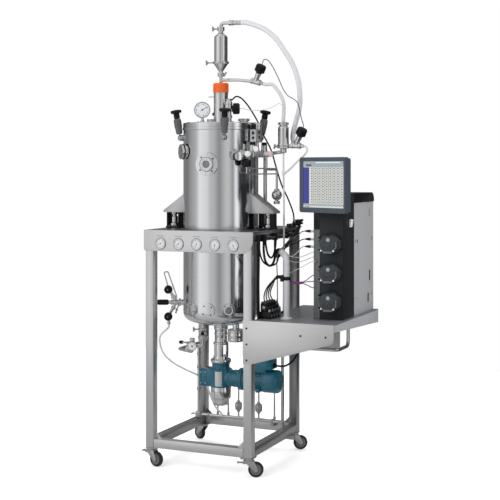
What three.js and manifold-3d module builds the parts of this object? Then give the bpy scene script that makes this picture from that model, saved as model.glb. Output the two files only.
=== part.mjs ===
import * as THREE from 'three';
import { mergeVertices } from 'three/addons/utils/BufferGeometryUtils.js';
import Module from 'manifold-3d';

const wasm = await Module();
wasm.setup();

// A pilot-scale stirred fermenter on a wheeled skid, with a control tower on its side shelf.
// Millimetres, +Z up, the front looks towards -Y. The skid's footprint is centred on X = Y = 0.

// ---------------------------------------------------------------- fits shared by all pieces
const joinGap = 0.3;
const runGap = 0.8;
const sheet = 3;

// ---------------------------------------------------------------- casters
const wheelRadius = 38;
const wheelWidth = 26;
const casterTrail = 33;
const axleRadius = 5;
const wheelTopGap = 2.5;
const crownThickness = 6;
const cheekThickness = 3;
const cheekGap = 1.6;
const raceRadius = 23;
const raceHeight = 6;
const casterPlate = 64;
const casterPlateThickness = 5;
const pedalReach = 30;
const pedalWidth = 24;
const pedalThickness = 4;
const pedalPinRadius = 3;

// ---------------------------------------------------------------- skid of welded square tube
const tubeSize = 46;
const tubeWall = 3;
const skidWidth = 590;
const skidDepth = 648;
const legHeight = 1101;
const gussetLeg = 38;
const gussetThickness = 4;

// ---------------------------------------------------------------- deck and load cells
const deckThickness = 5;
const deckOverhang = 8;
const deckHoleClearance = 14;
const cellHeight = 82;
const cellBaseRadius = 24;
const cellBaseHeight = 26;
const cellSpindleRadius = 12;
const cellPad = 92;
const cellPadThickness = 8;
const cellGuard = 6;
const cellGuardInner = 38;
const cellInset = 23;
const cellReach = skidWidth / 2 - cellInset;

// ---------------------------------------------------------------- gauge panel
const panelHeight = 106;
const panelCornerRadius = 66;
const panelSmallRadius = 10;
const gaugeCount = 5;
const gaugePitch = 101;
const gaugeOffset = -4;
const gaugeDrop = 67;
const gaugeBezelRadius = 29;
const gaugeBezelRaise = 5;
const gaugeCupRadius = 14;
const gaugeCupDepth = 17;

// ---------------------------------------------------------------- vessel
const vesselY = -50;
const vesselRadius = 195;
const vesselWall = 10;
const vesselAboveLug = 441;
const vesselStraight = 953;
const knuckleRadius = 48;
const crownSlope = 20;
const rimRaise = 4;
const rimHeight = 14;
const nozzleRadius = 36;
const nozzleBore = 23;
const nozzleLength = 10;
const lugPastCell = 43;
const lugReach = cellReach + lugPastCell;
const lugHalfWidth = 45;
const lugHeight = 101;
const lugNose = 10;
const baffleWidth = 34;
const baffleThickness = 4;
const baffleBottom = 80;
const baffleTop = 110;
const sightAngle = 5;
const sightDrop = 190;
const sightFlangeRadius = 59;
const sightFlangeRaise = 14;
const sightBore = 30;
const sightRingRadius = 35;
const sightRingRaise = 5;
const sidePortAngle = -45;
const sidePortDrop = 125;
const sidePortRadius = 40;
const sidePortRaise = 26;
const lowPortAngles = [-24, 6, 36];
const lowPortHeight = 26;
const lowPortRadius = 37;
const lowPortRaise = 13;
const samplePortAngle = -66;
const samplePortRadius = 15;
const samplePortRaise = 12;
const heaterX = 86;
const heaterRadius = 43;
const heaterLength = 62;
const heaterDrop = 64;

// ---------------------------------------------------------------- lid and its swing clamps
const lidThickness = 24;
const lidInset = 2;
const lidEdge = 3;
const clampAngles = [-60, 30, 120, 210];
const clampDrop = 53;
const clampEarRadius = 16;
const clampEarReach = 30;
const clampStudRadius = 5;
const clampStudLength = 118;
const clampLean = 9;
const nutSleeveRadius = 18;
const nutSleeveStart = 20;
const nutSleeveLength = 80;
const nutNeckRadius = 12;
const nutLength = 148;
const mushroomRadius = 28.5;
const mushroomHeight = 20;

// ---------------------------------------------------------------- lid fittings
const gaugeSpot = [-88, -90];
const lidGaugeRadius = 43;
const lidGaugeDepth = 26;
const lidGaugeRise = 69;
const lidGaugeStem = 7;
const lidBossHeight = 10;
const valveSpot = [68, -100];
const lidValveRadius = 19;
const lidValveRise = 112;
const lidValveCapRadius = 29;
const lidValveCapLength = 42;
const lidPortSpots = [[-92, 40], [86, 48]];
const lidPortRadius = 30;
const lidPortHeight = 26;
const condenserRadius = 37;
const condenserBore = 26;
const condenserHeight = 158;
const capRadius = 40.5;
const capHeight = 50;
const ventRadius = 8.5;

// ---------------------------------------------------------------- exhaust filter stack
const ventLength = 34;
const lowerClampRadius = 18;
const lowerClampHeight = 20;
const filterConeHeight = 46;
const wingClampRadius = 43;
const wingClampHeight = 13;
const filterRadius = 35;
const filterHeight = 122;
const filterShoulder = 26;
const topClampRadius = 19;
const topClampHeight = 22;
const elbowRadius = 11;
const elbowBend = 26;
const elbowReach = 118;

// ---------------------------------------------------------------- bypass and inlet valves
const smallTube = 8;
const valveBodyRadius = 15;
const valveCapRadius = 27;
const valveCapLength = 48;
const valveSleeve = [-26, 30];
const runBend = 20;
const bypassReach = 196;
const bypassFall = 14;
const bypassRun = 44;
const bypassCapReach = 46;
const inletCapReach = 52;
const inletValveReach = 34;
const inletPastVessel = 136;
const inletX = vesselRadius + inletPastVessel;
const inletY = vesselY + 50;
const inletFilterRadius = 28;
const inletFilterHeight = 124;
const inletClampRadius = 33;

// ---------------------------------------------------------------- stirrer and its drive
const shaftRadius = 12.5;
const shaftTop = 470;
const impellerDisc = 42;
const impellerBlade = 30;
const impellerBladeHeight = 26;
const impellerRadius = 62;
const impellerHeights = [110, 400];
const sealSleeveRadius = 19;
const sealSleeveRise = 18;
const housingRadius = 32;
const housingLength = 78;
const lanternRadius = 39;
const lanternLength = 88;
const lanternWall = 6;
const driveFlangeRadius = 54;
const driveFlangeHeight = 13;
const gearNeckRadius = 46;
const gearNeckHeight = 34;
const gearHeight = 93;
const gearHubRadius = 58;
const gearLeft = 106;
const gearRight = 40;
const gearHalfDepth = 44;
const adapterLength = 84;
const adapterRadius = 45;
const adapterFlange = 57;
const adapterFlangeThickness = 12;
const motorLength = 211;
const motorRadius = 51;
const motorBore = 36;
const finHeight = 6;
const finThickness = 3;
const finCount = 14;
const fanCoverLength = 88;
const fanCoverRadius = 59;
const fanCoverRound = 18;
const fanSlots = 4;
const motorFlange = 10;
const motorCavityWall = 14;
const fanCavityWall = 6;
const terminalStart = 46;
const terminalLength = 128;
const terminalDepth = 88;
const terminalHeight = 84;
const terminalLift = 17;
const motorShaftRadius = 8;
const rotorRadius = 33;
const rotorLength = 96;
const coverCanRadius = 53;
const coverCanLength = 60;
const coverNoseRadius = 43;
const coverNoseLength = 37;

// ---------------------------------------------------------------- shelf and tower
const shelfTop = 772;
const shelfSheet = 4;
const shelfLength = 426;
const shelfRight = skidWidth / 2 + shelfLength;
const shelfFront = 3;
const shelfPastSkid = 48;
const shelfBack = skidDepth / 2 + shelfPastSkid;
const shelfFrontLip = 36;
const shelfBackLip = 70;
const bracketRight = 96;
const bracketLeft = 214;
const bracketCorner = 24;
const apronLeft = skidWidth / 2 + 5;
const apronWidth = 208;
const apronRight = apronLeft + apronWidth;
const apronHeight = 112;
const handleTube = 9;
const handleStart = 135;
const handleLeft = skidWidth / 2 + handleStart;
const handleWidth = 182;
const handleRight = handleLeft + handleWidth;
const handleDepth = 332;
const handleFront = shelfBack - handleDepth;
const handleReturn = 160;
const handleBend = 22;
const handleDrop = 178;
const towerStart = 245;
const towerLeft = skidWidth / 2 + towerStart;
const towerWidth = 160;
const towerRight = towerLeft + towerWidth;
const towerInset = 19;
const towerBack = shelfBack - towerInset;
const towerDepth = 503;
const towerFront = towerBack - towerDepth;
const fasciaDepth = 174;
const towerSplit = towerFront + fasciaDepth;
const towerHeight = 569;
const towerCap = 48;
const towerCapRound = 40;
const towerWall = 4;
const fasciaChamfer = 47;
const fasciaChamferDepth = 34;
const pumpInset = 106;
const pumpX = towerLeft + pumpInset;
const pumpHeights = [90, 229, 373];
const pumpWidth = 110;
const pumpHeight = 102;
const pumpBaseDepth = 12;
const pumpCoverDepth = 48;
const pumpCoverWall = 3;
const pumpCorner = 32;
const pumpPinRadius = 4;
const rotorDiscRadius = 30;
const rotorDiscDepth = 22;
const rollerRadius = 8;
const rollerOrbit = 20;
const rollerCount = 3;
const rotorShaftRadius = 6;
const switchDrop = 99;
const switchHeight = towerHeight - switchDrop;
const switchInset = 61;
const switchY = towerSplit - switchInset;
const switchWidth = 34;
const switchTall = 46;
const switchClearance = 0.5;

// ---------------------------------------------------------------- conduit post and solenoid valves
const postSpot = [skidWidth / 2 + 135, -200];
const postRadius = 16;
const postHeight = 300;
const postArm = [-52, 50, 30];
const postBend = 34;
const postFlangeRadius = 30;
const postFlangeThickness = 6;
const solenoidCount = 4;
const solenoidPitch = 34;
const solenoidWidth = 24;
const solenoidDepth = 34;
const solenoidBase = 34;
const solenoidHeight = 84;
const solenoidFront = -250;
const solenoidBaseWidth = 62;
const airFilterRadius = 21;
const airFilterHeight = 74;

// ---------------------------------------------------------------- monitor
const monitorWidth = 296;
const monitorHeight = 268;
const monitorDepth = 46;
const monitorEdge = 10;
const monitorBackDrop = 58;
const monitorInset = 111;
const monitorForward = 105;
const monitorSpot = [towerLeft + monitorInset, towerFront - monitorForward];
const monitorAbove = 93;
const monitorRise = towerHeight + monitorAbove;
const monitorTurn = -22;
const swivelOffset = 60;
const swivelPinRadius = 12;
const swivelPadRadius = 20;
const bracketHalf = 30;
const yokeThickness = 8;
const yokeWidth = 80;
const tiltPinRadius = 6;
const webFront = 15;

// ---------------------------------------------------------------- piping under the vessel
const pipeRadius = 9;
const headerHeight = 160;
const headerInset = 103;
const headerY = skidDepth / 2 - headerInset;
const headerLeft = 33 - skidWidth / 2;
const headerRight = skidWidth / 2 - 59;
const rightPipeTop = 560;
const trapTop = 360;
const riserTop = 330;
const lineBend = 11;
const drainX = -95;
const drainY = -70;
const drainGaugeRadius = 25;
const trapSpots = [-22, 97];
const riserSpots = [-147, -83, 189];
const trapRadius = 19;
const trapHeight = 60;

// ---------------------------------------------------------------- sampling valve on the left
const armLength = 62;
const armRise = 70;
const armBallRadius = 14;
const loopRise = 88;
const knobRadius = 22;
const knobLength = 30;
const gripRadius = 14;
const gripLength = 60;

// Levels that several pieces share, from the floor up.
const crownTop = 2 * wheelRadius + wheelTopGap + crownThickness;
const skidBottom = crownTop + joinGap + raceHeight + casterPlateThickness;
const skidTop = skidBottom + legHeight;
const deckTop = skidTop + joinGap + deckThickness;
const lugBottom = deckTop + cellHeight;
const rimTop = lugBottom + vesselAboveLug;
const kneeLevel = rimTop - vesselStraight;
const lidTop = rimTop + joinGap + lidThickness;

const innerRadius = vesselRadius - vesselWall;
const rad = THREE.MathUtils.degToRad;
const up = new THREE.Vector3(0, 0, 1);
const vec = (x, y, z) => new THREE.Vector3(x, y, z);

// ---------------------------------------------------------------- turning shapes into solids
function solid(geometry) {
  const bare = new THREE.BufferGeometry();
  bare.setAttribute('position', geometry.attributes.position);
  bare.setIndex(geometry.index);
  const merged = mergeVertices(bare, 1e-3);
  const corners = merged.index.array;
  const kept = [];
  for (let i = 0; i < corners.length; i += 3) {
    const [a, b, c] = corners.slice(i, i + 3);
    if (a !== b && b !== c && c !== a) kept.push(a, b, c);
  }
  return new wasm.Manifold(new wasm.Mesh({
    numProp: 3,
    vertProperties: new Float32Array(merged.attributes.position.array),
    triVerts: new Uint32Array(kept),
  }));
}

function join(...pieces) {
  return pieces.flat().reduce((whole, piece) => whole.add(piece));
}

function cut(body, ...tools) {
  return tools.flat().reduce((rest, tool) => rest.subtract(tool), body);
}

function meshGeometry(body) {
  const mesh = body.getMesh();
  const geometry = new THREE.BufferGeometry();
  geometry.setAttribute('position', new THREE.BufferAttribute(mesh.vertProperties, 3));
  geometry.setIndex(new THREE.BufferAttribute(mesh.triVerts, 1));
  geometry.computeVertexNormals();
  return geometry;
}

// ---------------------------------------------------------------- basic shapes
function block(x0, x1, y0, y1, z0, z1) {
  const geometry = new THREE.BoxGeometry(x1 - x0, y1 - y0, z1 - z0);
  geometry.translate((x0 + x1) / 2, (y0 + y1) / 2, (z0 + z1) / 2);
  return solid(geometry);
}

function stand(geometry, from, direction) {
  const turn = new THREE.Quaternion().setFromUnitVectors(up, direction.clone().normalize());
  geometry.applyQuaternion(turn);
  geometry.translate(from.x, from.y, from.z);
  return geometry;
}

// A solid of revolution: profile points are [radius, height along the axis].
function turned(profile, sides = 12, from = vec(0, 0, 0), direction = up) {
  const points = profile.map(([r, h]) => new THREE.Vector2(r, h));
  const geometry = new THREE.LatheGeometry(points, sides);
  geometry.rotateX(Math.PI / 2);
  return solid(stand(geometry, from, direction));
}

function rod(from, to, radius, sides = 6) {
  const length = from.distanceTo(to);
  const profile = [[0, 0], [radius, 0], [radius, length], [0, length]];
  return turned(profile, sides, from, to.clone().sub(from));
}

function ball(centre, radius, sides = 8) {
  const geometry = new THREE.SphereGeometry(radius, sides, Math.round(sides * 0.6));
  geometry.translate(centre.x, centre.y, centre.z);
  return solid(geometry);
}

// Points of an arc in a profile, angles in degrees from the first axis.
function arc(centreA, centreB, radius, fromAngle, toAngle, steps) {
  return Array.from({ length: steps + 1 }, (_, i) => {
    const angle = rad(fromAngle + ((toAngle - fromAngle) * i) / steps);
    return [centreA + radius * Math.cos(angle), centreB + radius * Math.sin(angle)];
  });
}

function extruded(outline, depth) {
  const shape = new THREE.Shape(outline.map(([a, b]) => new THREE.Vector2(a, b)));
  return new THREE.ExtrudeGeometry(shape, { depth, bevelEnabled: false });
}

// Flat plates cut from an outline: lying (XY), facing the front (XZ) or facing the side (YZ).
function lyingPlate(outline, z, thickness) {
  return solid(extruded(outline, thickness).translate(0, 0, z));
}

function frontPlate(outline, yFront, thickness) {
  const geometry = extruded(outline, thickness).rotateX(Math.PI / 2);
  return solid(geometry.translate(0, yFront + thickness, 0));
}

function sidePlate(outline, xLeft, thickness) {
  const basis = new THREE.Matrix4().makeBasis(vec(0, 1, 0), vec(0, 0, 1), vec(1, 0, 0));
  return solid(extruded(outline, thickness).applyMatrix4(basis).translate(xLeft, 0, 0));
}

// A pipe's centre line: straight runs joined by true arcs, with a section only where it bends.
class PipeRun extends THREE.Curve {
  constructor(corners, bend, arcSteps = 2) {
    super();
    this.stations = [{ point: corners[0], tangent: corners[1].clone().sub(corners[0]).normalize() }];
    for (let i = 1; i < corners.length - 1; i += 1) {
      const before = corners[i].clone().sub(corners[i - 1]).normalize();
      const after = corners[i + 1].clone().sub(corners[i]).normalize();
      const turn = before.angleTo(after);
      const side = after.clone().addScaledVector(before, -after.dot(before)).normalize();
      const start = corners[i].clone().addScaledVector(before, -bend * Math.tan(turn / 2));
      for (let k = 0; k <= arcSteps; k += 1) {
        const angle = (turn * k) / arcSteps;
        const point = start.clone().addScaledVector(before, bend * Math.sin(angle))
          .addScaledVector(side, bend * (1 - Math.cos(angle)));
        const tangent = before.clone().multiplyScalar(Math.cos(angle))
          .addScaledVector(side, Math.sin(angle));
        this.stations.push({ point, tangent });
      }
    }
    const last = corners.length - 1;
    const tangent = corners[last].clone().sub(corners[last - 1]).normalize();
    this.stations.push({ point: corners[last], tangent });
  }

  station(t) {
    return this.stations[Math.round(t * (this.stations.length - 1))];
  }

  getPoint(t) {
    return this.station(t).point.clone();
  }

  getPointAt(t) {
    return this.getPoint(t);
  }

  getTangentAt(t) {
    return this.station(t).tangent.clone();
  }
}

function circle(radius, sides) {
  return Array.from({ length: sides }, (_, i) => {
    const angle = (2 * Math.PI * i) / sides;
    return new THREE.Vector2(radius * Math.cos(angle), radius * Math.sin(angle));
  });
}

function pipe(corners, radius, bend, sides = 8) {
  const path = new PipeRun(corners, bend);
  const options = { steps: path.stations.length - 1, extrudePath: path, bevelEnabled: false };
  return solid(new THREE.ExtrudeGeometry(new THREE.Shape(circle(radius, sides)), options));
}

function hose(points, radius, steps, sides = 8) {
  const path = new THREE.CatmullRomCurve3(points, false, 'centripetal');
  const options = { steps, extrudePath: path, bevelEnabled: false };
  return solid(new THREE.ExtrudeGeometry(new THREE.Shape(circle(radius, sides)), options));
}

// ---------------------------------------------------------------- the scene graph
const bioreactor = new THREE.Group();

const finishes = {
  steel: new THREE.MeshStandardMaterial({ color: 0xb9bcc0, roughness: 0.35, metalness: 1 }),
  polished: new THREE.MeshStandardMaterial({ color: 0xd3d6d9, roughness: 0.16, metalness: 1 }),
  zinc: new THREE.MeshStandardMaterial({ color: 0xa8abae, roughness: 0.4, metalness: 1 }),
  blackPlastic: new THREE.MeshStandardMaterial({ color: 0x1c1d20, roughness: 0.45, metalness: 0 }),
  greyPlastic: new THREE.MeshStandardMaterial({ color: 0x4a525c, roughness: 0.5, metalness: 0 }),
  darkPaint: new THREE.MeshStandardMaterial({ color: 0x34383d, roughness: 0.45, metalness: 0.2 }),
  tealPaint: new THREE.MeshStandardMaterial({ color: 0x29799a, roughness: 0.35, metalness: 0.1 }),
  orange: new THREE.MeshStandardMaterial({ color: 0xe36621, roughness: 0.45, metalness: 0 }),
  rubber: new THREE.MeshStandardMaterial({ color: 0x151515, roughness: 0.8, metalness: 0 }),
  silicone: new THREE.MeshStandardMaterial({ color: 0xe9ecec, roughness: 0.4, metalness: 0 }),
  glass: new THREE.MeshStandardMaterial({ color: 0x9fb0b4, roughness: 0.1, metalness: 0 }),
};

function addPart(name, finish, body, place = vec(0, 0, 0), turn = new THREE.Quaternion()) {
  const mesh = new THREE.Mesh(meshGeometry(body), finishes[finish]);
  mesh.name = name;
  mesh.position.copy(place);
  mesh.quaternion.copy(turn);
  bioreactor.add(mesh);
  return mesh;
}

// Places on the vessel: an angle is measured from the front (-Y) towards +X.
const outward = (angle) => vec(Math.sin(rad(angle)), -Math.cos(rad(angle)), 0);
function onVessel(angle, radius, z) {
  return outward(angle).multiplyScalar(radius).add(vec(0, vesselY, z));
}

// ================================================================ skid
const legX = (skidWidth - tubeSize) / 2;
const legY = (skidDepth - tubeSize) / 2;

function squareTubes(size) {
  const half = size / 2;
  const wall = (tubeSize - size) / 2;
  const low = skidBottom + tubeSize / 2;
  const high = skidTop - tubeSize / 2;
  const tubes = [];
  for (const x of [-legX, legX]) {
    for (const y of [-legY, legY]) {
      tubes.push(block(x - half, x + half, y - half, y + half, skidBottom, skidTop - wall));
    }
    for (const z of [low, high]) {
      tubes.push(block(x - half, x + half, -legY, legY, z - half, z + half));
    }
  }
  for (const y of [-legY, legY]) {
    for (const z of [low, high]) {
      tubes.push(block(-legX, legX, y - half, y + half, z - half, z + half));
    }
  }
  return join(tubes);
}

function gusset(x, y) {
  const inX = -Math.sign(x);
  const cornerX = x + (inX * tubeSize) / 2;
  const cornerZ = skidBottom + tubeSize;
  const outline = [
    [cornerX - inX, cornerZ - 1],
    [cornerX + inX * gussetLeg, cornerZ - 1],
    [cornerX + inX * gussetLeg, cornerZ],
    [cornerX, cornerZ + gussetLeg],
    [cornerX - inX, cornerZ + gussetLeg],
  ];
  const ordered = inX > 0 ? outline : outline.reverse();
  return frontPlate(ordered, y - gussetThickness / 2, gussetThickness);
}

function casterSeat(x, y) {
  const half = casterPlate / 2;
  const plateBottom = skidBottom - casterPlateThickness;
  const outX = Math.sign(x) * (half - tubeSize / 2);
  const outY = Math.sign(y) * (half - tubeSize / 2);
  const plate = block(x - outX - half, x - outX + half, y - outY - half, y - outY + half,
    plateBottom, skidBottom + 1);
  const race = rod(vec(x, y, plateBottom - raceHeight), vec(x, y, plateBottom + 1), raceRadius, 12);
  return join(plate, race);
}

function skidFrame() {
  const corners = [];
  for (const x of [-legX, legX]) {
    for (const y of [-legY, legY]) corners.push(gusset(x, y), casterSeat(x, y));
  }
  const frame = cut(squareTubes(tubeSize), squareTubes(tubeSize - 2 * tubeWall));
  const drainHoles = [-legX, legX].map((x) => rod(vec(x, legY - tubeSize, skidBottom - 1),
    vec(x, legY - tubeSize, skidBottom + tubeWall + 1), 5, 8));
  return cut(join(frame, corners), drainHoles);
}

// ================================================================ casters
const casterCorners = [
  { label: 'front_left', x: -legX, y: -legY, swivel: -12, brake: true },
  { label: 'front_right', x: legX, y: -legY, swivel: 22, brake: true },
  { label: 'rear_left', x: -legX, y: legY, swivel: 155, brake: false },
  { label: 'rear_right', x: legX, y: legY, swivel: 30, brake: false },
];
const cheekInside = wheelWidth / 2 + cheekGap;
const cheekOutside = cheekInside + cheekThickness;
const pedalPinZ = crownTop - crownThickness - pedalPinRadius - 4;
const pedalPinX = -raceRadius - pedalPinRadius;

// The fork in its own frame: swivel axis at X = Y = 0, wheel trailing towards +X.
function casterFork(brake) {
  const crown = rod(vec(0, 0, crownTop - crownThickness), vec(0, 0, crownTop), raceRadius, 12);
  const bridge = block(-raceRadius * 0.7, raceRadius, -cheekOutside, cheekOutside,
    crownTop - crownThickness, crownTop);
  const boss = axleRadius + 6;
  const cheek = [
    [-raceRadius * 0.7, crownTop],
    [-raceRadius * 0.7, crownTop - 14],
    ...arc(casterTrail, wheelRadius, boss, 225, 395, 2),
    [raceRadius, crownTop],
  ];
  const cheeks = [-cheekOutside, cheekInside].map((y) => frontPlate(cheek, y, cheekThickness));
  const axle = rod(vec(casterTrail, -cheekOutside - 3, wheelRadius),
    vec(casterTrail, cheekOutside + 3, wheelRadius), axleRadius, 6);
  const fork = join(crown, bridge, cheeks, axle);
  if (!brake) return fork;
  const pin = rod(vec(pedalPinX, -pedalWidth / 2 - 4, pedalPinZ),
    vec(pedalPinX, pedalWidth / 2 + 4, pedalPinZ), pedalPinRadius, 6);
  const ears = [-1, 1].map((side) => {
    const y = side * (pedalWidth / 2 + 2.5);
    return block(pedalPinX - 4, -raceRadius * 0.6, y - 1.5, y + 1.5, pedalPinZ - 5, crownTop - 1);
  });
  return join(fork, pin, ears);
}

function casterWheel() {
  const half = wheelWidth / 2;
  const bore = axleRadius + runGap / 2;
  const profile = [
    [bore, -half], [wheelRadius - 4, -half], [wheelRadius, -half + 6], [wheelRadius, half - 6],
    [wheelRadius - 4, half], [bore, half], [bore, -half],
  ];
  return turned(profile, 18, vec(0, 0, 0), vec(0, 1, 0));
}

// The pedal in its own frame, its pin on the Y axis: it reaches outwards and turns down.
function brakePedal() {
  const eye = turned([
    [pedalPinRadius + runGap / 2, -pedalWidth / 2 + 0.7], [pedalPinRadius + 3, -pedalWidth / 2 + 0.7],
    [pedalPinRadius + 3, pedalWidth / 2 - 0.7], [pedalPinRadius + runGap / 2, pedalWidth / 2 - 0.7],
    [pedalPinRadius + runGap / 2, -pedalWidth / 2 + 0.7],
  ], 8, vec(0, 0, 0), vec(0, 1, 0));
  const half = pedalWidth / 2 - 1;
  const tread = block(-pedalReach, -pedalPinRadius - 1, -half, half, -pedalThickness / 2,
    pedalThickness / 2);
  const lip = rod(vec(-pedalReach, -half, 0), vec(-pedalReach, half, 0), pedalThickness, 6);
  return join(eye, tread, lip);
}

for (const corner of casterCorners) {
  const turn = new THREE.Quaternion().setFromAxisAngle(up, rad(corner.swivel));
  const place = (x, z) => vec(x, 0, z).applyQuaternion(turn).add(vec(corner.x, corner.y, 0));
  addPart(`caster_fork_${corner.label}`, 'zinc', casterFork(corner.brake), place(0, 0), turn);
  addPart(`caster_wheel_${corner.label}`, 'rubber', casterWheel(), place(casterTrail, wheelRadius),
    turn);
  if (corner.brake) {
    addPart(`caster_brake_${corner.label}`, 'zinc', brakePedal(), place(pedalPinX, pedalPinZ), turn);
  }
}
addPart('skid_frame', 'steel', skidFrame());

// ================================================================ deck, load cells, gauge panel
const deckHalfWidth = skidWidth / 2 + deckOverhang;

function deckPlate() {
  const half = skidDepth / 2;
  const plate = block(-deckHalfWidth, deckHalfWidth, -half, half + deckOverhang,
    deckTop - deckThickness, deckTop);
  const hole = rod(vec(0, vesselY, deckTop - deckThickness - 1), vec(0, vesselY, deckTop + 1),
    vesselRadius + deckHoleClearance, 28);
  const posts = [-1, 1].map((side) => {
    const x = side * cellReach;
    const pad = cellPad / 2;
    const inner = side * (cellReach - pad);
    const outer = side * (deckHalfWidth - 2);
    const foot = block(Math.min(inner, outer), Math.max(inner, outer), vesselY - pad, vesselY + pad,
      deckTop - 1, deckTop + cellPadThickness);
    const top = lugBottom - joinGap;
    const base = rod(vec(x, vesselY, deckTop), vec(x, vesselY, deckTop + cellPadThickness + cellBaseHeight),
      cellBaseRadius, 16);
    const spindle = rod(vec(x, vesselY, deckTop), vec(x, vesselY, top), cellSpindleRadius, 12);
    const guards = [side * (cellReach - cellGuardInner), outer].map((face) => {
      const back = face - side * cellGuard;
      return block(Math.min(face, back), Math.max(face, back), vesselY - pad + 2, vesselY + pad - 2,
        deckTop + cellPadThickness - 1, top);
    });
    return join(foot, base, spindle, guards);
  });
  return join(cut(plate, hole), posts);
}

function gaugePanel() {
  const top = deckTop;
  const bottom = deckTop - panelHeight;
  const front = -skidDepth / 2 - joinGap - sheet;
  const right = deckHalfWidth;
  const outline = [
    [-right, top],
    ...arc(-right + panelSmallRadius, bottom + panelSmallRadius, panelSmallRadius, 180, 270, 3),
    ...arc(right - panelCornerRadius, bottom + panelCornerRadius, panelCornerRadius, -90, 0, 6),
    [right, top],
  ];
  const plate = frontPlate(outline, front, sheet);
  const z = deckTop - gaugeDrop;
  const gauges = Array.from({ length: gaugeCount }, (_, i) => {
    const x = gaugeOffset + (i - (gaugeCount - 1) / 2) * gaugePitch;
    const bezel = turned([
      [0, -1.5], [gaugeBezelRadius, -1.5], [gaugeBezelRadius, gaugeBezelRaise],
      [gaugeBezelRadius - 5, gaugeBezelRaise - 2], [0, gaugeBezelRaise - 2],
    ], 12, vec(x, front, z), vec(0, -1, 0));
    const foot = front + sheet - 1;
    const cup = rod(vec(x, foot, z), vec(x, foot + gaugeCupDepth, z), gaugeCupRadius, 6);
    return join(bezel, cup);
  });
  return join(plate, gauges);
}

addPart('deck_plate', 'steel', deckPlate());
addPart('gauge_panel', 'steel', gaugePanel());

// ================================================================ vessel
const crownRadius = (vesselRadius - knuckleRadius) / Math.sin(rad(crownSlope)) + knuckleRadius;
const crownCentre = kneeLevel - knuckleRadius * Math.cos(rad(crownSlope))
  + crownRadius * Math.cos(rad(crownSlope));
const dishBottom = crownCentre - crownRadius;
const nozzleBottom = dishBottom - nozzleLength;

function dishArc(offset, bore) {
  const radius = crownRadius - offset;
  const boreSlope = THREE.MathUtils.radToDeg(Math.asin(bore / radius));
  const crown = arc(0, crownCentre, radius, -90 + boreSlope, -90 + crownSlope, 1);
  const knuckle = arc(vesselRadius - knuckleRadius, kneeLevel, knuckleRadius - offset,
    -90 + crownSlope, 0, 3);
  return [...crown, ...knuckle.slice(1)];
}

function vesselShell() {
  const outside = [
    [nozzleRadius, nozzleBottom], ...dishArc(0, nozzleRadius), [vesselRadius, rimTop - rimHeight],
    [vesselRadius + rimRaise, rimTop - rimHeight + 2], [vesselRadius + rimRaise, rimTop],
    [innerRadius, rimTop],
  ];
  const inside = dishArc(vesselWall, nozzleBore).reverse();
  const profile = [...outside, ...inside, [nozzleBore, nozzleBottom], [nozzleRadius, nozzleBottom]];
  const axisFoot = vec(0, vesselY, 0);
  const shell = turned(profile, 32, axisFoot);
  const inWall = vesselRadius - vesselWall / 2;
  const boss = (angle, z, radius, raise, sides) => rod(onVessel(angle, inWall, z),
    onVessel(angle, vesselRadius + raise, z), radius, sides);
  const bosses = [
    boss(sightAngle, rimTop - sightDrop, sightFlangeRadius, sightFlangeRaise, 16),
    boss(sidePortAngle, rimTop - sidePortDrop, sidePortRadius, sidePortRaise, 10),
    boss(samplePortAngle, sampleLevel, samplePortRadius, samplePortRaise, 8),
    ...lowPortAngles.map((a) => boss(a, kneeLevel + lowPortHeight, lowPortRadius, lowPortRaise, 10)),
  ];
  const sightHole = rod(onVessel(sightAngle, innerRadius - 20, rimTop - sightDrop),
    onVessel(sightAngle, vesselRadius + sightFlangeRaise + 1, rimTop - sightDrop), sightBore, 14);
  return cut(join(shell, bosses, lugs(), baffles(), clampEars(), heaterCan()), sightHole);
}

function lugs() {
  return [-1, 1].map((side) => {
    const root = side * (vesselRadius - vesselWall / 2);
    const nose = side * lugReach;
    const outline = [
      [root, lugBottom], [nose, lugBottom], [nose, lugBottom + lugNose],
      [root, lugBottom + lugHeight],
    ];
    const ordered = side > 0 ? outline : outline.reverse();
    return frontPlate(ordered, vesselY - lugHalfWidth, 2 * lugHalfWidth);
  });
}

function baffles() {
  return [45, 135, 225, 315].map((angle) => {
    const inner = innerRadius - baffleWidth;
    const plate = new THREE.BoxGeometry(baffleThickness, baffleWidth + 3,
      vesselStraight - baffleBottom - baffleTop);
    plate.translate(0, inner + (baffleWidth + 3) / 2, 0);
    plate.rotateZ(rad(angle));
    plate.translate(0, vesselY, (kneeLevel + baffleBottom + rimTop - baffleTop) / 2);
    return solid(plate);
  });
}

const clampLevel = rimTop - clampDrop;
const clampRadius = vesselRadius + 17;
const clampDirection = (angle) => outward(angle).multiplyScalar(Math.sin(rad(clampLean)))
  .add(vec(0, 0, Math.cos(rad(clampLean))));

function clampEars() {
  return clampAngles.map((angle) => {
    const boss = rod(onVessel(angle, vesselRadius - vesselWall / 2, clampLevel),
      onVessel(angle, vesselRadius + clampEarReach, clampLevel), clampEarRadius, 6);
    const foot = onVessel(angle, clampRadius, clampLevel);
    const tip = foot.clone().addScaledVector(clampDirection(angle), clampStudLength);
    return join(boss, rod(foot, tip, clampStudRadius, 6));
  });
}

function heaterCan() {
  const top = dishBottom - heaterDrop + heaterLength - 14;
  const neck = rod(vec(heaterX, vesselY, top - 2), vec(heaterX, vesselY, dishBottom + 14), 17, 8);
  const can = turned([
    [0, 0], [heaterRadius - 4, 0], [heaterRadius, 4], [heaterRadius, heaterLength - 4],
    [heaterRadius - 4, heaterLength], [0, heaterLength],
  ], 12, vec(heaterX, vesselY, top - heaterLength));
  return join(neck, can);
}

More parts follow.
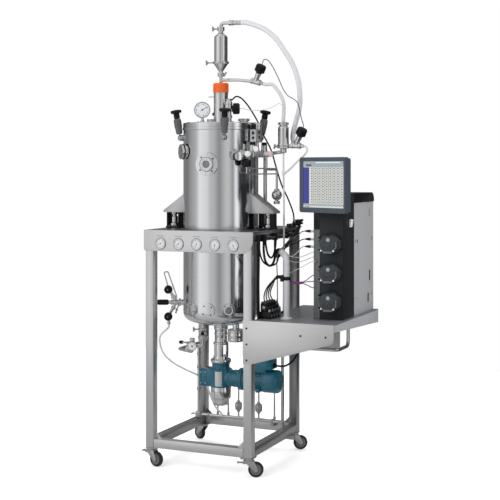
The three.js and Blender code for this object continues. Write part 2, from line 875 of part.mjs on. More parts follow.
// ================================================================ lid and clamp nuts
function vesselLid() {
  const radius = vesselRadius + rimRaise - lidInset;
  const plate = turned([
    [0, rimTop + joinGap], [radius, rimTop + joinGap], [radius, lidTop - lidEdge],
    [radius - lidEdge, lidTop], [0, lidTop],
  ], 32, vec(0, vesselY, 0));
  const boss = ([x, y], r, height) => rod(vec(x, y, lidTop - 2), vec(x, y, lidTop + height), r, 8);
  const ports = lidPortSpots.map(([x, y]) => turned([
    [0, -2], [lidPortRadius - 8, -2], [lidPortRadius - 8, 12], [lidPortRadius, 13],
    [lidPortRadius, lidPortHeight], [0, lidPortHeight],
  ], 12, vec(x, y, lidTop)));
  return join(plate, boss(gaugeSpot, lidGaugeStem + 5, lidBossHeight),
    boss(valveSpot, lidValveRadius - 3, lidBossHeight), ports);
}

// The hand nut in its own frame, standing on the stud's foot with the stud along +Z.
function clampNut() {
  const bore = clampStudRadius + runGap / 2;
  const start = nutSleeveStart;
  const end = start + nutSleeveLength;
  const crown = nutLength - mushroomHeight;
  return turned([
    [bore, start], [nutSleeveRadius, start + 2], [nutSleeveRadius, end - 5],
    [nutNeckRadius, end + 2], [nutNeckRadius, crown - 4], [mushroomRadius, crown + 2],
    [mushroomRadius - 1, crown + 8], [mushroomRadius - 10, nutLength - 2],
    [0, nutLength], [0, clampStudLength + 2], [bore, clampStudLength + 2], [bore, start],
  ], 12);
}

addPart('vessel_lid', 'polished', vesselLid());
clampAngles.forEach((angle, i) => {
  const turn = new THREE.Quaternion().setFromUnitVectors(up, clampDirection(angle));
  addPart(`clamp_nut_${i + 1}`, 'blackPlastic', clampNut(),
    onVessel(angle, clampRadius, clampLevel), turn);
});

function sightGlass() {
  const plug = sightBore - joinGap;
  const face = sightFlangeRaise + joinGap;
  return turned([
    [0, -vesselWall], [plug, -vesselWall], [plug, face], [sightRingRadius, face],
    [sightRingRadius, face + sightRingRaise - 1], [sightRingRadius - 1, face + sightRingRaise],
    [sightBore - 12, face + sightRingRaise], [sightBore - 12.5, face + 1], [0, face + 1],
  ], 14, onVessel(sightAngle, vesselRadius, rimTop - sightDrop), outward(sightAngle));
}

const sampleLevel = kneeLevel + 46;
addPart('vessel_shell', 'polished', vesselShell());
addPart('sight_glass', 'glass', sightGlass());

// ================================================================ fittings on the lid
const viewerSide = vec(Math.sin(rad(24)), -Math.cos(rad(24)), 0);

function lidGauge() {
  const foot = vec(...gaugeSpot, lidTop + lidBossHeight + joinGap);
  const centre = vec(...gaugeSpot, lidTop + lidGaugeRise);
  const stem = rod(foot, centre, lidGaugeStem);
  const collar = rod(foot, foot.clone().add(vec(0, 0, 9)), lidGaugeStem + 4, 6);
  const back = centre.clone().addScaledVector(viewerSide, -lidGaugeDepth / 2);
  const dial = turned([
    [0, 0], [lidGaugeRadius - 3, 0], [lidGaugeRadius - 1, 3], [lidGaugeRadius - 1, lidGaugeDepth - 8],
    [lidGaugeRadius, lidGaugeDepth - 7], [lidGaugeRadius, lidGaugeDepth - 1],
    [lidGaugeRadius - 1, lidGaugeDepth], [lidGaugeRadius - 5, lidGaugeDepth],
    [lidGaugeRadius - 6, lidGaugeDepth - 3], [0, lidGaugeDepth - 3],
  ], 16, back, viewerSide);
  return join(stem, collar, dial);
}

// A ribbed cap of a hand or air driven valve, its foot at the start of the axis.
function valveCap(from, direction, radius, length) {
  return turned([
    [0, 0], [radius * 0.55, 0], [radius * 0.6, length * 0.12], [radius, length * 0.2],
    [radius, length * 0.86], [radius - 4, length], [0, length],
  ], 12, from, direction);
}

function lidValve() {
  const foot = vec(...valveSpot, lidTop + lidBossHeight + joinGap);
  const body = turned([
    [0, 0], [lidValveRadius - 4, 0], [lidValveRadius - 4, 14], [lidValveRadius, 15],
    [lidValveRadius, 26], [lidValveRadius - 5, 28], [lidValveRadius - 5, 60],
    [lidValveRadius, 62], [lidValveRadius, 96], [lidValveRadius - 9, lidValveRise - 8],
    [lidValveRadius - 9, lidValveRise], [0, lidValveRise],
  ], 12, foot);
  const side = vec(Math.cos(rad(24)), Math.sin(rad(24)), 0);
  const capFoot = foot.clone().add(vec(0, 0, 62)).addScaledVector(side, lidValveRadius - 4);
  return join(body, valveCap(capFoot, side, lidValveCapRadius, lidValveCapLength));
}

function exhaustCondenser() {
  const base = lidTop + joinGap;
  const tube = turned([
    [condenserBore, 0], [condenserRadius + 9, 0], [condenserRadius + 9, 7], [condenserRadius, 9],
    [condenserRadius, condenserHeight], [condenserBore, condenserHeight], [condenserBore, 0],
  ], 20, vec(0, vesselY, base));
  const wall = (condenserRadius + condenserBore) / 2;
  const tabZ = base + condenserHeight - 22;
  const tab = block(-condenserRadius - 32, -wall, vesselY - 8, vesselY + 8, tabZ, tabZ + 4);
  const glandEnd = probeExit.clone();
  const gland = rod(vec(wall, vesselY, glandEnd.z), glandEnd.clone().add(vec(-joinGap, 0, 0)), 8, 8);
  const nozzles = [24, condenserHeight - 34].map((z) => rod(vec(0, vesselY + wall, base + z),
    vec(0, vesselY + condenserRadius + 26, base + z), 7));
  return join(tube, tab, gland, nozzles);
}

const condenserTop = lidTop + joinGap + condenserHeight;
const capTop = condenserTop + joinGap + capHeight;

function condenserCap() {
  return turned([
    [0, 0], [capRadius, 0], [capRadius, capHeight - 3], [capRadius - 3, capHeight],
    [0, capHeight],
  ], 20, vec(0, vesselY, condenserTop + joinGap));
}

// ---------------------------------------------------------------- exhaust filter on the axis
const ventFoot = capTop + joinGap;
const coneFoot = ventFoot + ventLength + lowerClampHeight;
const wingLevel = coneFoot + filterConeHeight;
const filterFoot = wingLevel + wingClampHeight;
const shoulderFoot = filterFoot + filterHeight;
const topClampFoot = shoulderFoot + filterShoulder + 10;
const elbowLevel = topClampFoot + topClampHeight + elbowBend - 6;
const exhaustEnd = vec(elbowReach, vesselY, elbowLevel - 4);
const exhaustAim = exhaustEnd.clone().sub(vec(0, vesselY, elbowLevel)).normalize();

function wingNut(centre, direction, reach) {
  const along = direction.clone().normalize();
  const tip = centre.clone().addScaledVector(along, reach);
  const across = vec(-along.y, along.x, 0).multiplyScalar(7).add(vec(0, 0, 12));
  const knob = rod(tip.clone().sub(across), tip.clone().add(across), 5, 5);
  return join(rod(centre, tip, 4.5, 5), knob);
}

function exhaustFilter() {
  const stack = turned([
    [0, 0], [ventRadius, 0], [ventRadius, ventLength], [lowerClampRadius, ventLength + 1],
    [lowerClampRadius, ventLength + lowerClampHeight - 1], [ventRadius + 2, coneFoot - ventFoot],
    [ventRadius + 3, coneFoot - ventFoot + 8], [wingClampRadius - 6, wingLevel - ventFoot],
    [wingClampRadius, wingLevel - ventFoot + 2], [wingClampRadius, filterFoot - ventFoot - 2],
    [filterRadius, filterFoot - ventFoot], [filterRadius, shoulderFoot - ventFoot],
    [elbowRadius + 1, shoulderFoot + filterShoulder - ventFoot],
    [elbowRadius + 1, topClampFoot - ventFoot], [topClampRadius, topClampFoot - ventFoot + 1],
    [topClampRadius, topClampFoot + topClampHeight - ventFoot - 1],
    [elbowRadius, topClampFoot + topClampHeight - ventFoot],
    [0, topClampFoot + topClampHeight - ventFoot],
  ], 16, vec(0, vesselY, ventFoot));
  const bendStart = vec(0, vesselY, topClampFoot + topClampHeight - 1);
  const corner = vec(0, vesselY, elbowLevel);
  const along = exhaustAim;
  const outlet = exhaustEnd.clone().addScaledVector(along, -joinGap);
  const elbow = pipe([bendStart, corner, outlet], elbowRadius - 2, elbowBend - 6, 8);
  const nut = rod(corner.clone().addScaledVector(along, 46), corner.clone().addScaledVector(along, 72),
    elbowRadius + 3, 6);
  const ferrule = rod(corner.clone().addScaledVector(along, 78),
    outlet, elbowRadius + 1, 8);
  const wings = [
    wingNut(vec(0, vesselY, wingLevel + wingClampHeight / 2), vec(-1, -0.3, 0), 78),
    wingNut(vec(0, vesselY, topClampFoot + topClampHeight / 2), vec(-1, -0.4, 0), 42),
    wingNut(vec(0, vesselY, ventFoot + ventLength + 10), vec(0.9, -0.6, 0), 44),
  ];
  return join(stack, elbow, nut, ferrule, wings);
}

// ---------------------------------------------------------------- bypass valve beside the filter
const teeLevel = ventFoot + ventLength * 0.45;
const bypassBody = vec(bypassReach, vesselY, teeLevel - bypassFall);
const bypassEnd = bypassBody.clone().add(vec(bypassRun, 4, -12));
const bypassAim = bypassEnd.clone().sub(bypassBody).normalize();

// A Y-pattern valve: a run of tube with a body, and an arm that carries the black cap.
function angleValve(run, body, armDirection, capReach) {
  const line = pipe(run, smallTube, runBend, 6);
  const axis = run[run.length - 1].clone().sub(run[run.length - 2]).normalize();
  const [sleeveStart, sleeveEnd] = valveSleeve.map((d) => body.clone().addScaledVector(axis, d));
  const sleeve = rod(sleeveStart, sleeveEnd, valveBodyRadius, 8);
  const arm = armDirection.clone().normalize();
  const capFoot = body.clone().addScaledVector(arm, capReach);
  const neck = rod(body, capFoot.clone().addScaledVector(arm, 2), valveBodyRadius - 1, 8);
  return join(line, sleeve, neck, valveCap(capFoot, arm, valveCapRadius, valveCapLength));
}

function bypassValve() {
  const start = vec(ventRadius + joinGap, vesselY, teeLevel);
  const run = [start, vec(bypassReach / 2, vesselY, teeLevel - 2), bypassBody,
    bypassEnd.clone().addScaledVector(bypassAim, -joinGap)];
  return angleValve(run, bypassBody, vec(30, -8, 62), bypassCapReach);
}

// ---------------------------------------------------------------- inlet filter and its valve
const inletFoot = lugBottom + 326;
const inletTopLevel = inletFoot + inletFilterHeight + 22;

function inletFilter() {
  const body = turned([
    [0, 0], [16, 0], [16, 6], [inletClampRadius, 8], [inletClampRadius, 26],
    [inletFilterRadius, 30], [inletFilterRadius, inletFilterHeight - 10],
    [inletFilterRadius - 8, inletFilterHeight], [inletFilterRadius - 8, inletFilterHeight + 2],
    [inletClampRadius - 5, inletFilterHeight + 4], [inletClampRadius - 5, inletFilterHeight + 16],
    [10, inletFilterHeight + 18], [10, inletFilterHeight + 22], [0, inletFilterHeight + 22],
  ], 14, vec(inletX, inletY, inletFoot));
  const wing = wingNut(vec(inletX, inletY, inletFoot + 17), vec(-0.8, -0.7, 0), 50);
  return join(body, wing);
}

const inletValveBody = vec(inletX + inletClampRadius + inletValveReach, inletY, inletFoot + 20);

function inletValve() {
  const start = vec(inletX + inletClampRadius + 1, inletY, inletFoot + 17);
  const outlet = inletValveBody.clone().add(vec(44, 0, -2));
  const arm = vec(38, -10, 74);
  const valve = angleValve([start, inletValveBody, outlet], inletValveBody, arm, inletCapReach);
  const low = inletValveBody.z;
  const branch = pipe([
    inletValveBody, vec(inletValveBody.x, hoseReturn.y, low), vec(hoseReturn.x, hoseReturn.y, low),
    hoseReturn.clone().add(vec(0, 0, -joinGap)),
  ], 9, 10);
  return join(valve, branch);
}

const hoseReturn = vec(inletX + 35, inletY + 44, inletFoot + 50);

// ---------------------------------------------------------------- utility valves on the right
const manifoldLevel = rimTop - 138;
const manifoldReach = vesselRadius + 32;
const manifoldRadius = 13;
const blockDrop = 32;
const dropReach = vesselRadius + 36;
const ballLevel = lugBottom + 92;

function utilityBlock() {
  const back = vesselRadius + rimRaise + 1;
  const centre = rimTop - blockDrop;
  const body = new THREE.BoxGeometry(60, 36, 92);
  body.translate(0, -(back + 18), 0);
  body.rotateZ(rad(81));
  body.translate(0, vesselY, centre);
  const holes = [-20, 20].map((z) => rod(onVessel(81, back + 20, centre + z),
    onVessel(81, back + 40, centre + z), 10, 8));
  return cut(solid(body), holes);
}

function utilityValves() {
  const gap = vesselRadius + joinGap;
  const z = manifoldLevel;
  const manifold = hose([42, 60, 78, 95, 112].map((a) => onVessel(a, manifoldReach, z)),
    manifoldRadius, 6, 6);
  const saddle = rod(onVessel(62, gap, z), onVessel(62, manifoldReach, z), 15);
  const barrel = rod(onVessel(46, gap, z - 12), onVessel(46, gap + 60, z - 12), 21, 10);
  const riser = rod(onVessel(81, manifoldReach, z), onVessel(81, manifoldReach - 8, rimTop - 72), 11);
  const valves = [54, 70, 90, 106].map((angle, i) => {
    const centre = onVessel(angle, manifoldReach, z);
    const side = i % 2 ? up : outward(angle);
    const tip = centre.clone().addScaledVector(side, 46);
    return join(rod(centre.clone().addScaledVector(side, -16), tip, 17),
      rod(tip.clone().addScaledVector(side, -1), tip.clone().addScaledVector(side, 16), 12));
  });
  const drops = [112, 119].map((angle) => {
    const foot = onVessel(angle, dropReach, deckTop + joinGap);
    return join(rod(foot, onVessel(angle, dropReach, z), pipeRadius),
      rod(foot, foot.clone().add(vec(0, 0, 12)), pipeRadius + 8));
  });
  const link = rod(onVessel(108, dropReach - 2, z - 2), onVessel(122, dropReach, z - 2), 9);
  const ballSpot = vec(280, inletY + 34, ballLevel);
  const loop = pipe([
    onVessel(90, manifoldReach + 30, z), onVessel(90, manifoldReach + 30, z - 78),
    vec(ballSpot.x, ballSpot.y, z - 78), ballSpot,
  ], 6, 8, 6);
  const stemFoot = vec(ballSpot.x, ballSpot.y, ballLevel - 46);
  const dropValve = [ball(ballSpot, 27, 10), rod(stemFoot, ballSpot, 9),
    rod(stemFoot, stemFoot.clone().add(vec(0, 0, 16)), 16)];
  const cupFoot = vec(inletX, inletY, inletFoot - 16);
  const arm = rod(onVessel(106, manifoldReach, z), vec(inletX, inletY, inletFoot - 10), 9);
  const cup = rod(cupFoot, vec(inletX, inletY, inletFoot - joinGap), 16, 8);
  return join(utilityBlock(), manifold, saddle, barrel, riser, valves, drops, link, loop, dropValve,
    arm, cup);
}

addPart('lid_gauge', 'polished', lidGauge());
addPart('lid_valve', 'steel', lidValve());

// ---------------------------------------------------------------- free hoses and the probe cable
const probeExit = vec(condenserRadius + 10, vesselY, lidTop + joinGap + condenserHeight - 38);
const exhaustHoseRadius = 13;
const bypassHoseRadius = 9;
const sampleHoseRadius = 5;
const probeCableRadius = 4;
const bypassLanding = vec(inletX, inletY, inletTopLevel + joinGap);
const probeLanding = vec(285, 262, deckTop + joinGap);

function exhaustHose() {
  return hose([
    exhaustEnd, exhaustEnd.clone().addScaledVector(exhaustAim, 24), vec(205, -50, 2246),
    vec(252, -50, 2224), vec(306, -50, 2180), vec(350, -50, 2122), vec(398, -48, 2047),
    vec(428, -40, 1958), vec(432, -26, 1880), vec(420, -4, 1820), vec(392, 24, 1760),
    vec(370, 42, 1704), hoseReturn.clone().add(vec(0, 0, 20)), hoseReturn,
  ], exhaustHoseRadius, 16, 8);
}

function bypassHose() {
  return hose([
    bypassEnd, bypassEnd.clone().addScaledVector(bypassAim, 14), vec(284, -38, 1944),
    vec(308, -30, 1918), vec(326, -20, 1886), vec(336, -10, 1850), vec(334, -2, 1806),
    bypassLanding.clone().add(vec(0, 0, 16)), bypassLanding,
  ], bypassHoseRadius, 14, 8);
}

function probeCable() {
  return hose([
    probeExit, probeExit.clone().add(vec(14, 0, 0)), vec(92, -58, 1886), vec(118, -60, 1878),
    vec(150, -58, 1847), vec(177, -50, 1806),
    vec(202, -40, 1759), vec(226, -20, 1690), vec(243, 10, 1640), vec(252, 34, 1600),
    vec(261, 64, 1530),
    vec(275, 110, 1431), vec(292, 170, 1345), vec(297, 222, 1276),
    probeLanding.clone().add(vec(1, -2, 30)), probeLanding,
  ], probeCableRadius, 22, 8);
}

addPart('exhaust_condenser', 'polished', exhaustCondenser());
addPart('condenser_cap', 'orange', condenserCap());
addPart('exhaust_filter', 'polished', exhaustFilter());
addPart('bypass_valve', 'steel', bypassValve());
addPart('inlet_filter', 'polished', inletFilter());
addPart('inlet_valve', 'steel', inletValve());
addPart('utility_valves', 'steel', utilityValves());
addPart('exhaust_hose', 'silicone', exhaustHose());
addPart('bypass_hose', 'silicone', bypassHose());
addPart('probe_cable', 'rubber', probeCable());

// ================================================================ stirrer and drive
const housingTop = nozzleBottom - joinGap;
const lanternTop = housingTop - housingLength;
const flangeTop = lanternTop - lanternLength;
const flangeBottom = flangeTop - driveFlangeHeight;
const gearNeckTop = flangeBottom - joinGap;
const gearTop = gearNeckTop - gearNeckHeight;
const gearBottom = gearTop - gearHeight;
const gearCentre = (gearTop + gearBottom) / 2;
const shaftFoot = gearTop - 40;

function agitator() {
  const z0 = dishBottom + vesselWall;
  const shaft = rod(vec(0, vesselY, shaftFoot), vec(0, vesselY, z0 + shaftTop), shaftRadius, 10);
  const impellers = impellerHeights.flatMap((height) => {
    const z = z0 + height;
    const disc = rod(vec(0, vesselY, z - 2), vec(0, vesselY, z + 2), impellerDisc, 10);
    const hub = rod(vec(0, vesselY, z - 14), vec(0, vesselY, z + 14), shaftRadius + 8, 8);
    const blades = Array.from({ length: 6 }, (_, i) => {
      const blade = new THREE.BoxGeometry(impellerBlade, 3, impellerBladeHeight);
      blade.translate(impellerRadius - impellerBlade / 2, 0, z);
      blade.rotateZ((i * Math.PI) / 3);
      blade.translate(0, vesselY, 0);
      return solid(blade);
    });
    return [disc, hub, ...blades];
  });
  return join(shaft, impellers);
}

function driveHousing() {
  const bore = shaftRadius + runGap;
  const profile = [
    [bore, flangeBottom], [driveFlangeRadius, flangeBottom], [driveFlangeRadius, flangeTop],
    [lanternRadius, flangeTop], [lanternRadius, lanternTop], [housingRadius, lanternTop + 3],
    [housingRadius, housingTop - 12], [nozzleRadius, housingTop - 10], [nozzleRadius, housingTop],
    [sealSleeveRadius, housingTop], [sealSleeveRadius, dishBottom + vesselWall + sealSleeveRise],
    [bore, dishBottom + vesselWall + sealSleeveRise], [bore, lanternTop - 10],
    [lanternRadius - lanternWall, lanternTop - 14], [lanternRadius - lanternWall, flangeTop + 8],
    [bore, flangeTop + 4], [bore, flangeBottom],
  ];
  const body = turned(profile, 14, vec(0, vesselY, 0));
  const midZ = (flangeTop + lanternTop) / 2;
  const windows = [60, 180, 300].map((angle) => {
    const opening = new THREE.BoxGeometry(34, lanternRadius, lanternLength - 40);
    opening.translate(0, -lanternRadius * 0.9, 0);
    opening.rotateZ(rad(angle));
    opening.translate(0, vesselY, midZ);
    return solid(opening);
  });
  return cut(body, windows);
}

function gearbox() {
  const hub = rod(vec(0, vesselY, gearBottom), vec(0, vesselY, gearTop), gearHubRadius, 20);
  const front = vesselY - gearHalfDepth;
  const back = vesselY + gearHalfDepth;
  const box = block(-gearLeft, gearRight, front, back, gearBottom + 2, gearTop - 2);
  const neck = rod(vec(0, vesselY, gearTop - 1), vec(0, vesselY, gearNeckTop), gearNeckRadius, 16);
  const end = gearRight + adapterLength;
  const axisAt = (x) => vec(x, vesselY, gearCentre);
  const adapter = rod(axisAt(gearRight - 2), axisAt(end), adapterRadius, 16);
  const flange = rod(axisAt(end - adapterFlangeThickness), axisAt(end), adapterFlange, 16);
  const rib = block(gearRight - 2, end - 4, vesselY - 4, vesselY + 4, gearBottom + 4, gearTop - 4);
  const bore = rod(vec(0, vesselY, shaftFoot - joinGap), vec(0, vesselY, gearNeckTop + 1),
    shaftRadius + runGap, 10);
  const socket = rod(axisAt(end - 62), axisAt(end + 1), motorShaftRadius + runGap, 8);
  return cut(join(hub, box, neck, adapter, flange, rib), bore, socket);
}

const motorStart = gearRight + adapterLength + joinGap;
const motorEnd = motorStart + motorLength;

function motorHousing() {
  const fanStart = motorLength - fanCoverLength;
  const cavityEnd = fanStart - fanCavityWall;
  const bore = motorShaftRadius + runGap;
  const profile = [
    [bore, 0], [adapterFlange, 0], [adapterFlange, motorFlange], [motorRadius, motorFlange + 3],
    [motorRadius, fanStart],
    [fanCoverRadius, fanStart + 1],
    ...arc(motorLength - fanCoverRound, fanCoverRadius - fanCoverRound, fanCoverRound, 90, 0, 3)
      .map(([along, r]) => [r, along]),
    [0, motorLength], [0, cavityEnd], [motorBore, cavityEnd], [motorBore, motorCavityWall],
    [bore, motorCavityWall], [bore, 0],
  ];
  const axis = vec(1, 0, 0);
  const body = turned(profile, 20, vec(motorStart, vesselY, gearCentre), axis);
  const fins = Array.from({ length: finCount }, (_, i) => {
    const finLength = fanStart - motorCavityWall - 4;
    const fin = new THREE.BoxGeometry(finLength, finThickness, finHeight + 2);
    fin.translate(motorStart + motorCavityWall + finLength / 2, 0, motorRadius + finHeight / 2 - 1);
    fin.rotateX((2 * Math.PI * (i + 0.5)) / finCount);
    fin.translate(0, vesselY, gearCentre);
    return solid(fin);
  });
  const slots = Array.from({ length: fanSlots }, (_, i) => {
    const slot = new THREE.BoxGeometry(8, 5, 24);
    slot.translate(motorEnd, 0, 30);
    slot.rotateX((2 * Math.PI * (i + 0.3)) / fanSlots);
    slot.translate(0, vesselY, gearCentre);
    return solid(slot);
  });
  const boxLeft = motorStart + terminalStart;
  const boxFoot = gearCentre + motorRadius - 6;
  const half = terminalDepth / 2;
  const terminal = block(boxLeft, boxLeft + terminalLength, vesselY - half, vesselY + half,
    boxFoot + terminalLift, boxFoot + terminalHeight);
  const saddle = block(boxLeft + 10, boxLeft + terminalLength - 30, vesselY - half + 10,
    vesselY + half - 10, boxFoot, boxFoot + terminalLift + 1);
  const gland = rod(vec(boxLeft + terminalLength - 2, vesselY, boxFoot + 36),
    vec(boxLeft + terminalLength + 16, vesselY, boxFoot + 36), 10, 10);
  return cut(join(body, fins, saddle, terminal, gland), slots);
}

// The rotor in its own frame, its shaft along X from the cavity's inner end.
function motorRotor() {
  const shaft = rod(vec(-64, 0, 0), vec(rotorLength + 4, 0, 0), motorShaftRadius, 8);
  return join(shaft, rod(vec(2, 0, 0), vec(rotorLength, 0, 0), rotorRadius, 12));
}

function shaftCover() {
  const top = gearBottom - joinGap;
  const split = top - coverCanLength;
  const foot = split - coverNoseLength;
  return turned([
    [0, foot], [coverNoseRadius - 12, foot], ...arc(coverNoseRadius - 12, foot + 12, 12, -60, 0, 2),
    [coverNoseRadius, split - 2], [coverCanRadius - 3, split], [coverCanRadius, split + 3],
    [coverCanRadius, top], [0, top],
  ], 20, vec(0, vesselY, 0));
}

addPart('agitator', 'polished', agitator());
addPart('drive_housing', 'polished', driveHousing());
addPart('gearbox', 'tealPaint', gearbox());
addPart('motor_housing', 'tealPaint', motorHousing());
addPart('motor_rotor', 'zinc', motorRotor(), vec(motorStart + motorCavityWall + 2, vesselY, gearCentre));
addPart('shaft_cover', 'polished', shaftCover());

// ================================================================ piping under the vessel
function condensatePiping() {
  const drainTop = dishBottom + 12;
  const drain = rod(vec(drainX, drainY, dishBottom - 96), vec(drainX, drainY, drainTop - 2), 11, 8);
  const rings = [18, 60].map((drop) => rod(vec(drainX, drainY, dishBottom - drop - 12),
    vec(drainX, drainY, dishBottom - drop), 25, 8));
  const valveBall = ball(vec(drainX, drainY, dishBottom - 42), 22, 8);
  const lineZ = dishBottom - 100;
  const lowZ = dishBottom - 146;
  const line = pipe([
    vec(drainX, drainY, dishBottom - 90), vec(drainX, drainY, lineZ - 12),
    vec(drainX - 62, drainY, lineZ - 12), vec(drainX - 62, drainY, lowZ),
    vec(headerLeft, drainY + 60, lowZ),
    vec(headerLeft, headerY, lowZ), vec(headerLeft, headerY, headerHeight - 8),
  ], pipeRadius, lineBend, 6);
  const gaugeSeat = vec(drainX - 62, drainY, lineZ - 12);
  const gaugeFront = gaugeSeat.clone().addScaledVector(viewerSide, 34);
  const gaugeStem = rod(gaugeSeat, gaugeFront, 6, 6);
  const gauge = rod(gaugeFront.clone().addScaledVector(viewerSide, -16), gaugeFront,
    drainGaugeRadius, 10);
  const plug = rod(vec(drainX - 62, drainY, lineZ + 26), vec(drainX - 62, drainY, lineZ - 14), 13);
  const leverSeat = rod(leverSpot.clone().add(vec(0, 0, -24)), leverSpot.clone().add(vec(0, 0, -joinGap)),
    8);
  const leverBody = ball(leverSpot.clone().add(vec(0, 0, -26)), 17, 7);
  const header = rod(vec(headerLeft - 16, headerY, headerHeight),
    vec(headerRight, headerY, headerHeight), pipeRadius);
  const stub = rod(vec(headerLeft - 40, headerY, headerHeight), vec(headerLeft - 12, headerY,
    headerHeight), 5);
  const tee = rod(vec(headerLeft - 40, headerY - 16, headerHeight), vec(headerLeft - 40, headerY + 16,
    headerHeight), 4);
  const corner = block(headerLeft - 16, headerLeft + 16, headerY - 14, headerY + 14,
    headerHeight - 15, headerHeight + 17);
  const footTop = skidBottom - joinGap;
  const rightPipe = rod(vec(headerRight, headerY, footTop - 10), vec(headerRight, headerY, rightPipeTop),
    pipeRadius);
  const rightFoot = block(headerRight - 14, headerRight + 66, headerY - 13, headerY + 13,
    footTop - 22, footTop);
  const hangers = [headerLeft + 60, headerRight - 60].map((x) => block(x - 8, x + 8, headerY,
    legY - tubeSize / 2 - joinGap, headerHeight - 30, headerHeight - 6));
  const traps = trapSpots.map((x) => {
    const foot = vec(x, headerY, headerHeight);
    const mid = foot.z + 34;
    return join(rod(foot, vec(x, headerY, trapTop), 5, 5), turned([
      [0, 0], [9, 0], [trapRadius, 14], [trapRadius, trapHeight - 14], [9, trapHeight],
      [0, trapHeight],
    ], 8, vec(x, headerY, mid)));
  });
  const risers = riserSpots.map((x) => rod(vec(x, headerY, headerHeight), vec(x, headerY, riserTop), 5, 5));
  return join(drain, rings, valveBall, line, gaugeStem, gauge, plug, leverSeat, leverBody, header, stub,
    tee, corner, rightPipe, rightFoot, hangers, traps, risers);
}

const leverSpot = vec(drainX - 92, drainY + 11, dishBottom - 106);

// The lever in its own frame: it turns about the valve's upright stem and points to the left.
function drainLever() {
  const hub = rod(vec(0, 0, 0), vec(0, 0, 9), 10, 12);
  const handle = block(-52, -4, -8, 8, 2, 8);
  const grip = rod(vec(-52, 0, 5), vec(-30, 0, 5), 9, 10);
  return join(hub, handle, grip);
}

addPart('condensate_piping', 'steel', condensatePiping());
addPart('drain_lever', 'blackPlastic', drainLever(), leverSpot);

// ================================================================ sampling valve on the left
const sampleOut = outward(samplePortAngle);
const sampleFoot = onVessel(samplePortAngle, vesselRadius + samplePortRaise + joinGap, sampleLevel);
const sampleHub = sampleFoot.clone().addScaledVector(sampleOut, 24);
const armTilt = Math.atan2(armRise, armLength - 22);
const armAim = (sign) => sampleOut.clone().multiplyScalar(Math.cos(armTilt))
  .add(vec(0, 0, sign * Math.sin(armTilt)));
const armReach = Math.hypot(armRise, armLength - 22);
const armBall = (sign) => sampleHub.clone().addScaledVector(armAim(sign), armReach);
const knobAim = outward(samplePortAngle + 90);
const knobSeat = (sign) => armBall(sign).addScaledVector(knobAim, armBallRadius + 6);
const gripSeat = sampleHub.clone().addScaledVector(sampleOut, 40);
const sampleOutlet = armBall(-1).add(vec(0, 0, -44));

function sampleLine() {
  const stem = rod(sampleFoot, gripSeat.clone().addScaledVector(sampleOut, -joinGap), 9);
  const clamp = rod(sampleFoot.clone().addScaledVector(sampleOut, 2),
    sampleFoot.clone().addScaledVector(sampleOut, 12), 21, 10);
  const arms = [1, -1].map((sign) => join(rod(sampleHub, armBall(sign), 8),
    ball(armBall(sign), armBallRadius, 7),
    rod(armBall(sign), knobSeat(sign).addScaledVector(knobAim, -joinGap), 8)));
  const wing = wingNut(sampleFoot.clone().addScaledVector(sampleOut, 7), vec(-0.2, -0.5, -1), 50);
  const rimZ = armBall(1).z + loopRise;
  const loopAt = (reach, z) => sampleHub.clone().addScaledVector(sampleOut, reach).setZ(z);
  const loop = pipe([
    armBall(1), loopAt(armLength + 4, rimZ), loopAt(armLength - 18, rimZ), loopAt(0, sampleHub.z + 34),
    sampleHub,
  ], 3.5, 5, 5);
  const outlet = rod(armBall(-1), sampleOutlet.clone().add(vec(0, 0, joinGap)), 6);
  return join(stem, clamp, arms, wing, loop, outlet);
}

// Knobs and grip in their own frames: they turn about +Z, standing on their seats.
function sampleKnob() {
  return turned([
    [0, 0], [9, 0], [10, 4], [knobRadius, 7], [knobRadius, knobLength - 4],
    [knobRadius - 3, knobLength], [0, knobLength],
  ], 12);
}

function sampleGrip() {
  return turned([
    [0, 0], [10, 0], [gripRadius, 6], [gripRadius - 1, gripLength / 2], [gripRadius, gripLength - 5],
    [gripRadius - 4, gripLength], [0, gripLength],
  ], 12);
}

const aim = (direction) => new THREE.Quaternion().setFromUnitVectors(up, direction);
addPart('sample_line', 'polished', sampleLine());
addPart('sample_grip', 'blackPlastic', sampleGrip(), gripSeat, aim(sampleOut));
addPart('sample_knob_upper', 'blackPlastic', sampleKnob(), knobSeat(1), aim(knobAim));
addPart('sample_knob_lower', 'blackPlastic', sampleKnob(), knobSeat(-1), aim(knobAim));

function sampleHose() {
  return hose([
    sampleOutlet, sampleOutlet.clone().add(vec(0, 0, -14)), vec(-296, -165, 640),
    vec(-300, -160, 596), vec(-282, -150, 545),
    vec(-240, -130, 500), vec(-180, -100, 462), vec(-130, -60, 430), vec(-112, 0, 380),
    vec(-112, 60, 300), vec(-112, 120, 230), vec(-112, 180, 190), vec(-112, 213.5, 165.5),
  ], sampleHoseRadius, 22, 8);
}

addPart('sample_hose', 'silicone', sampleHose());

// ================================================================ shelf
const shelfX = skidWidth / 2 + joinGap;
const frontSheet = -skidDepth / 2 - joinGap - sheet;

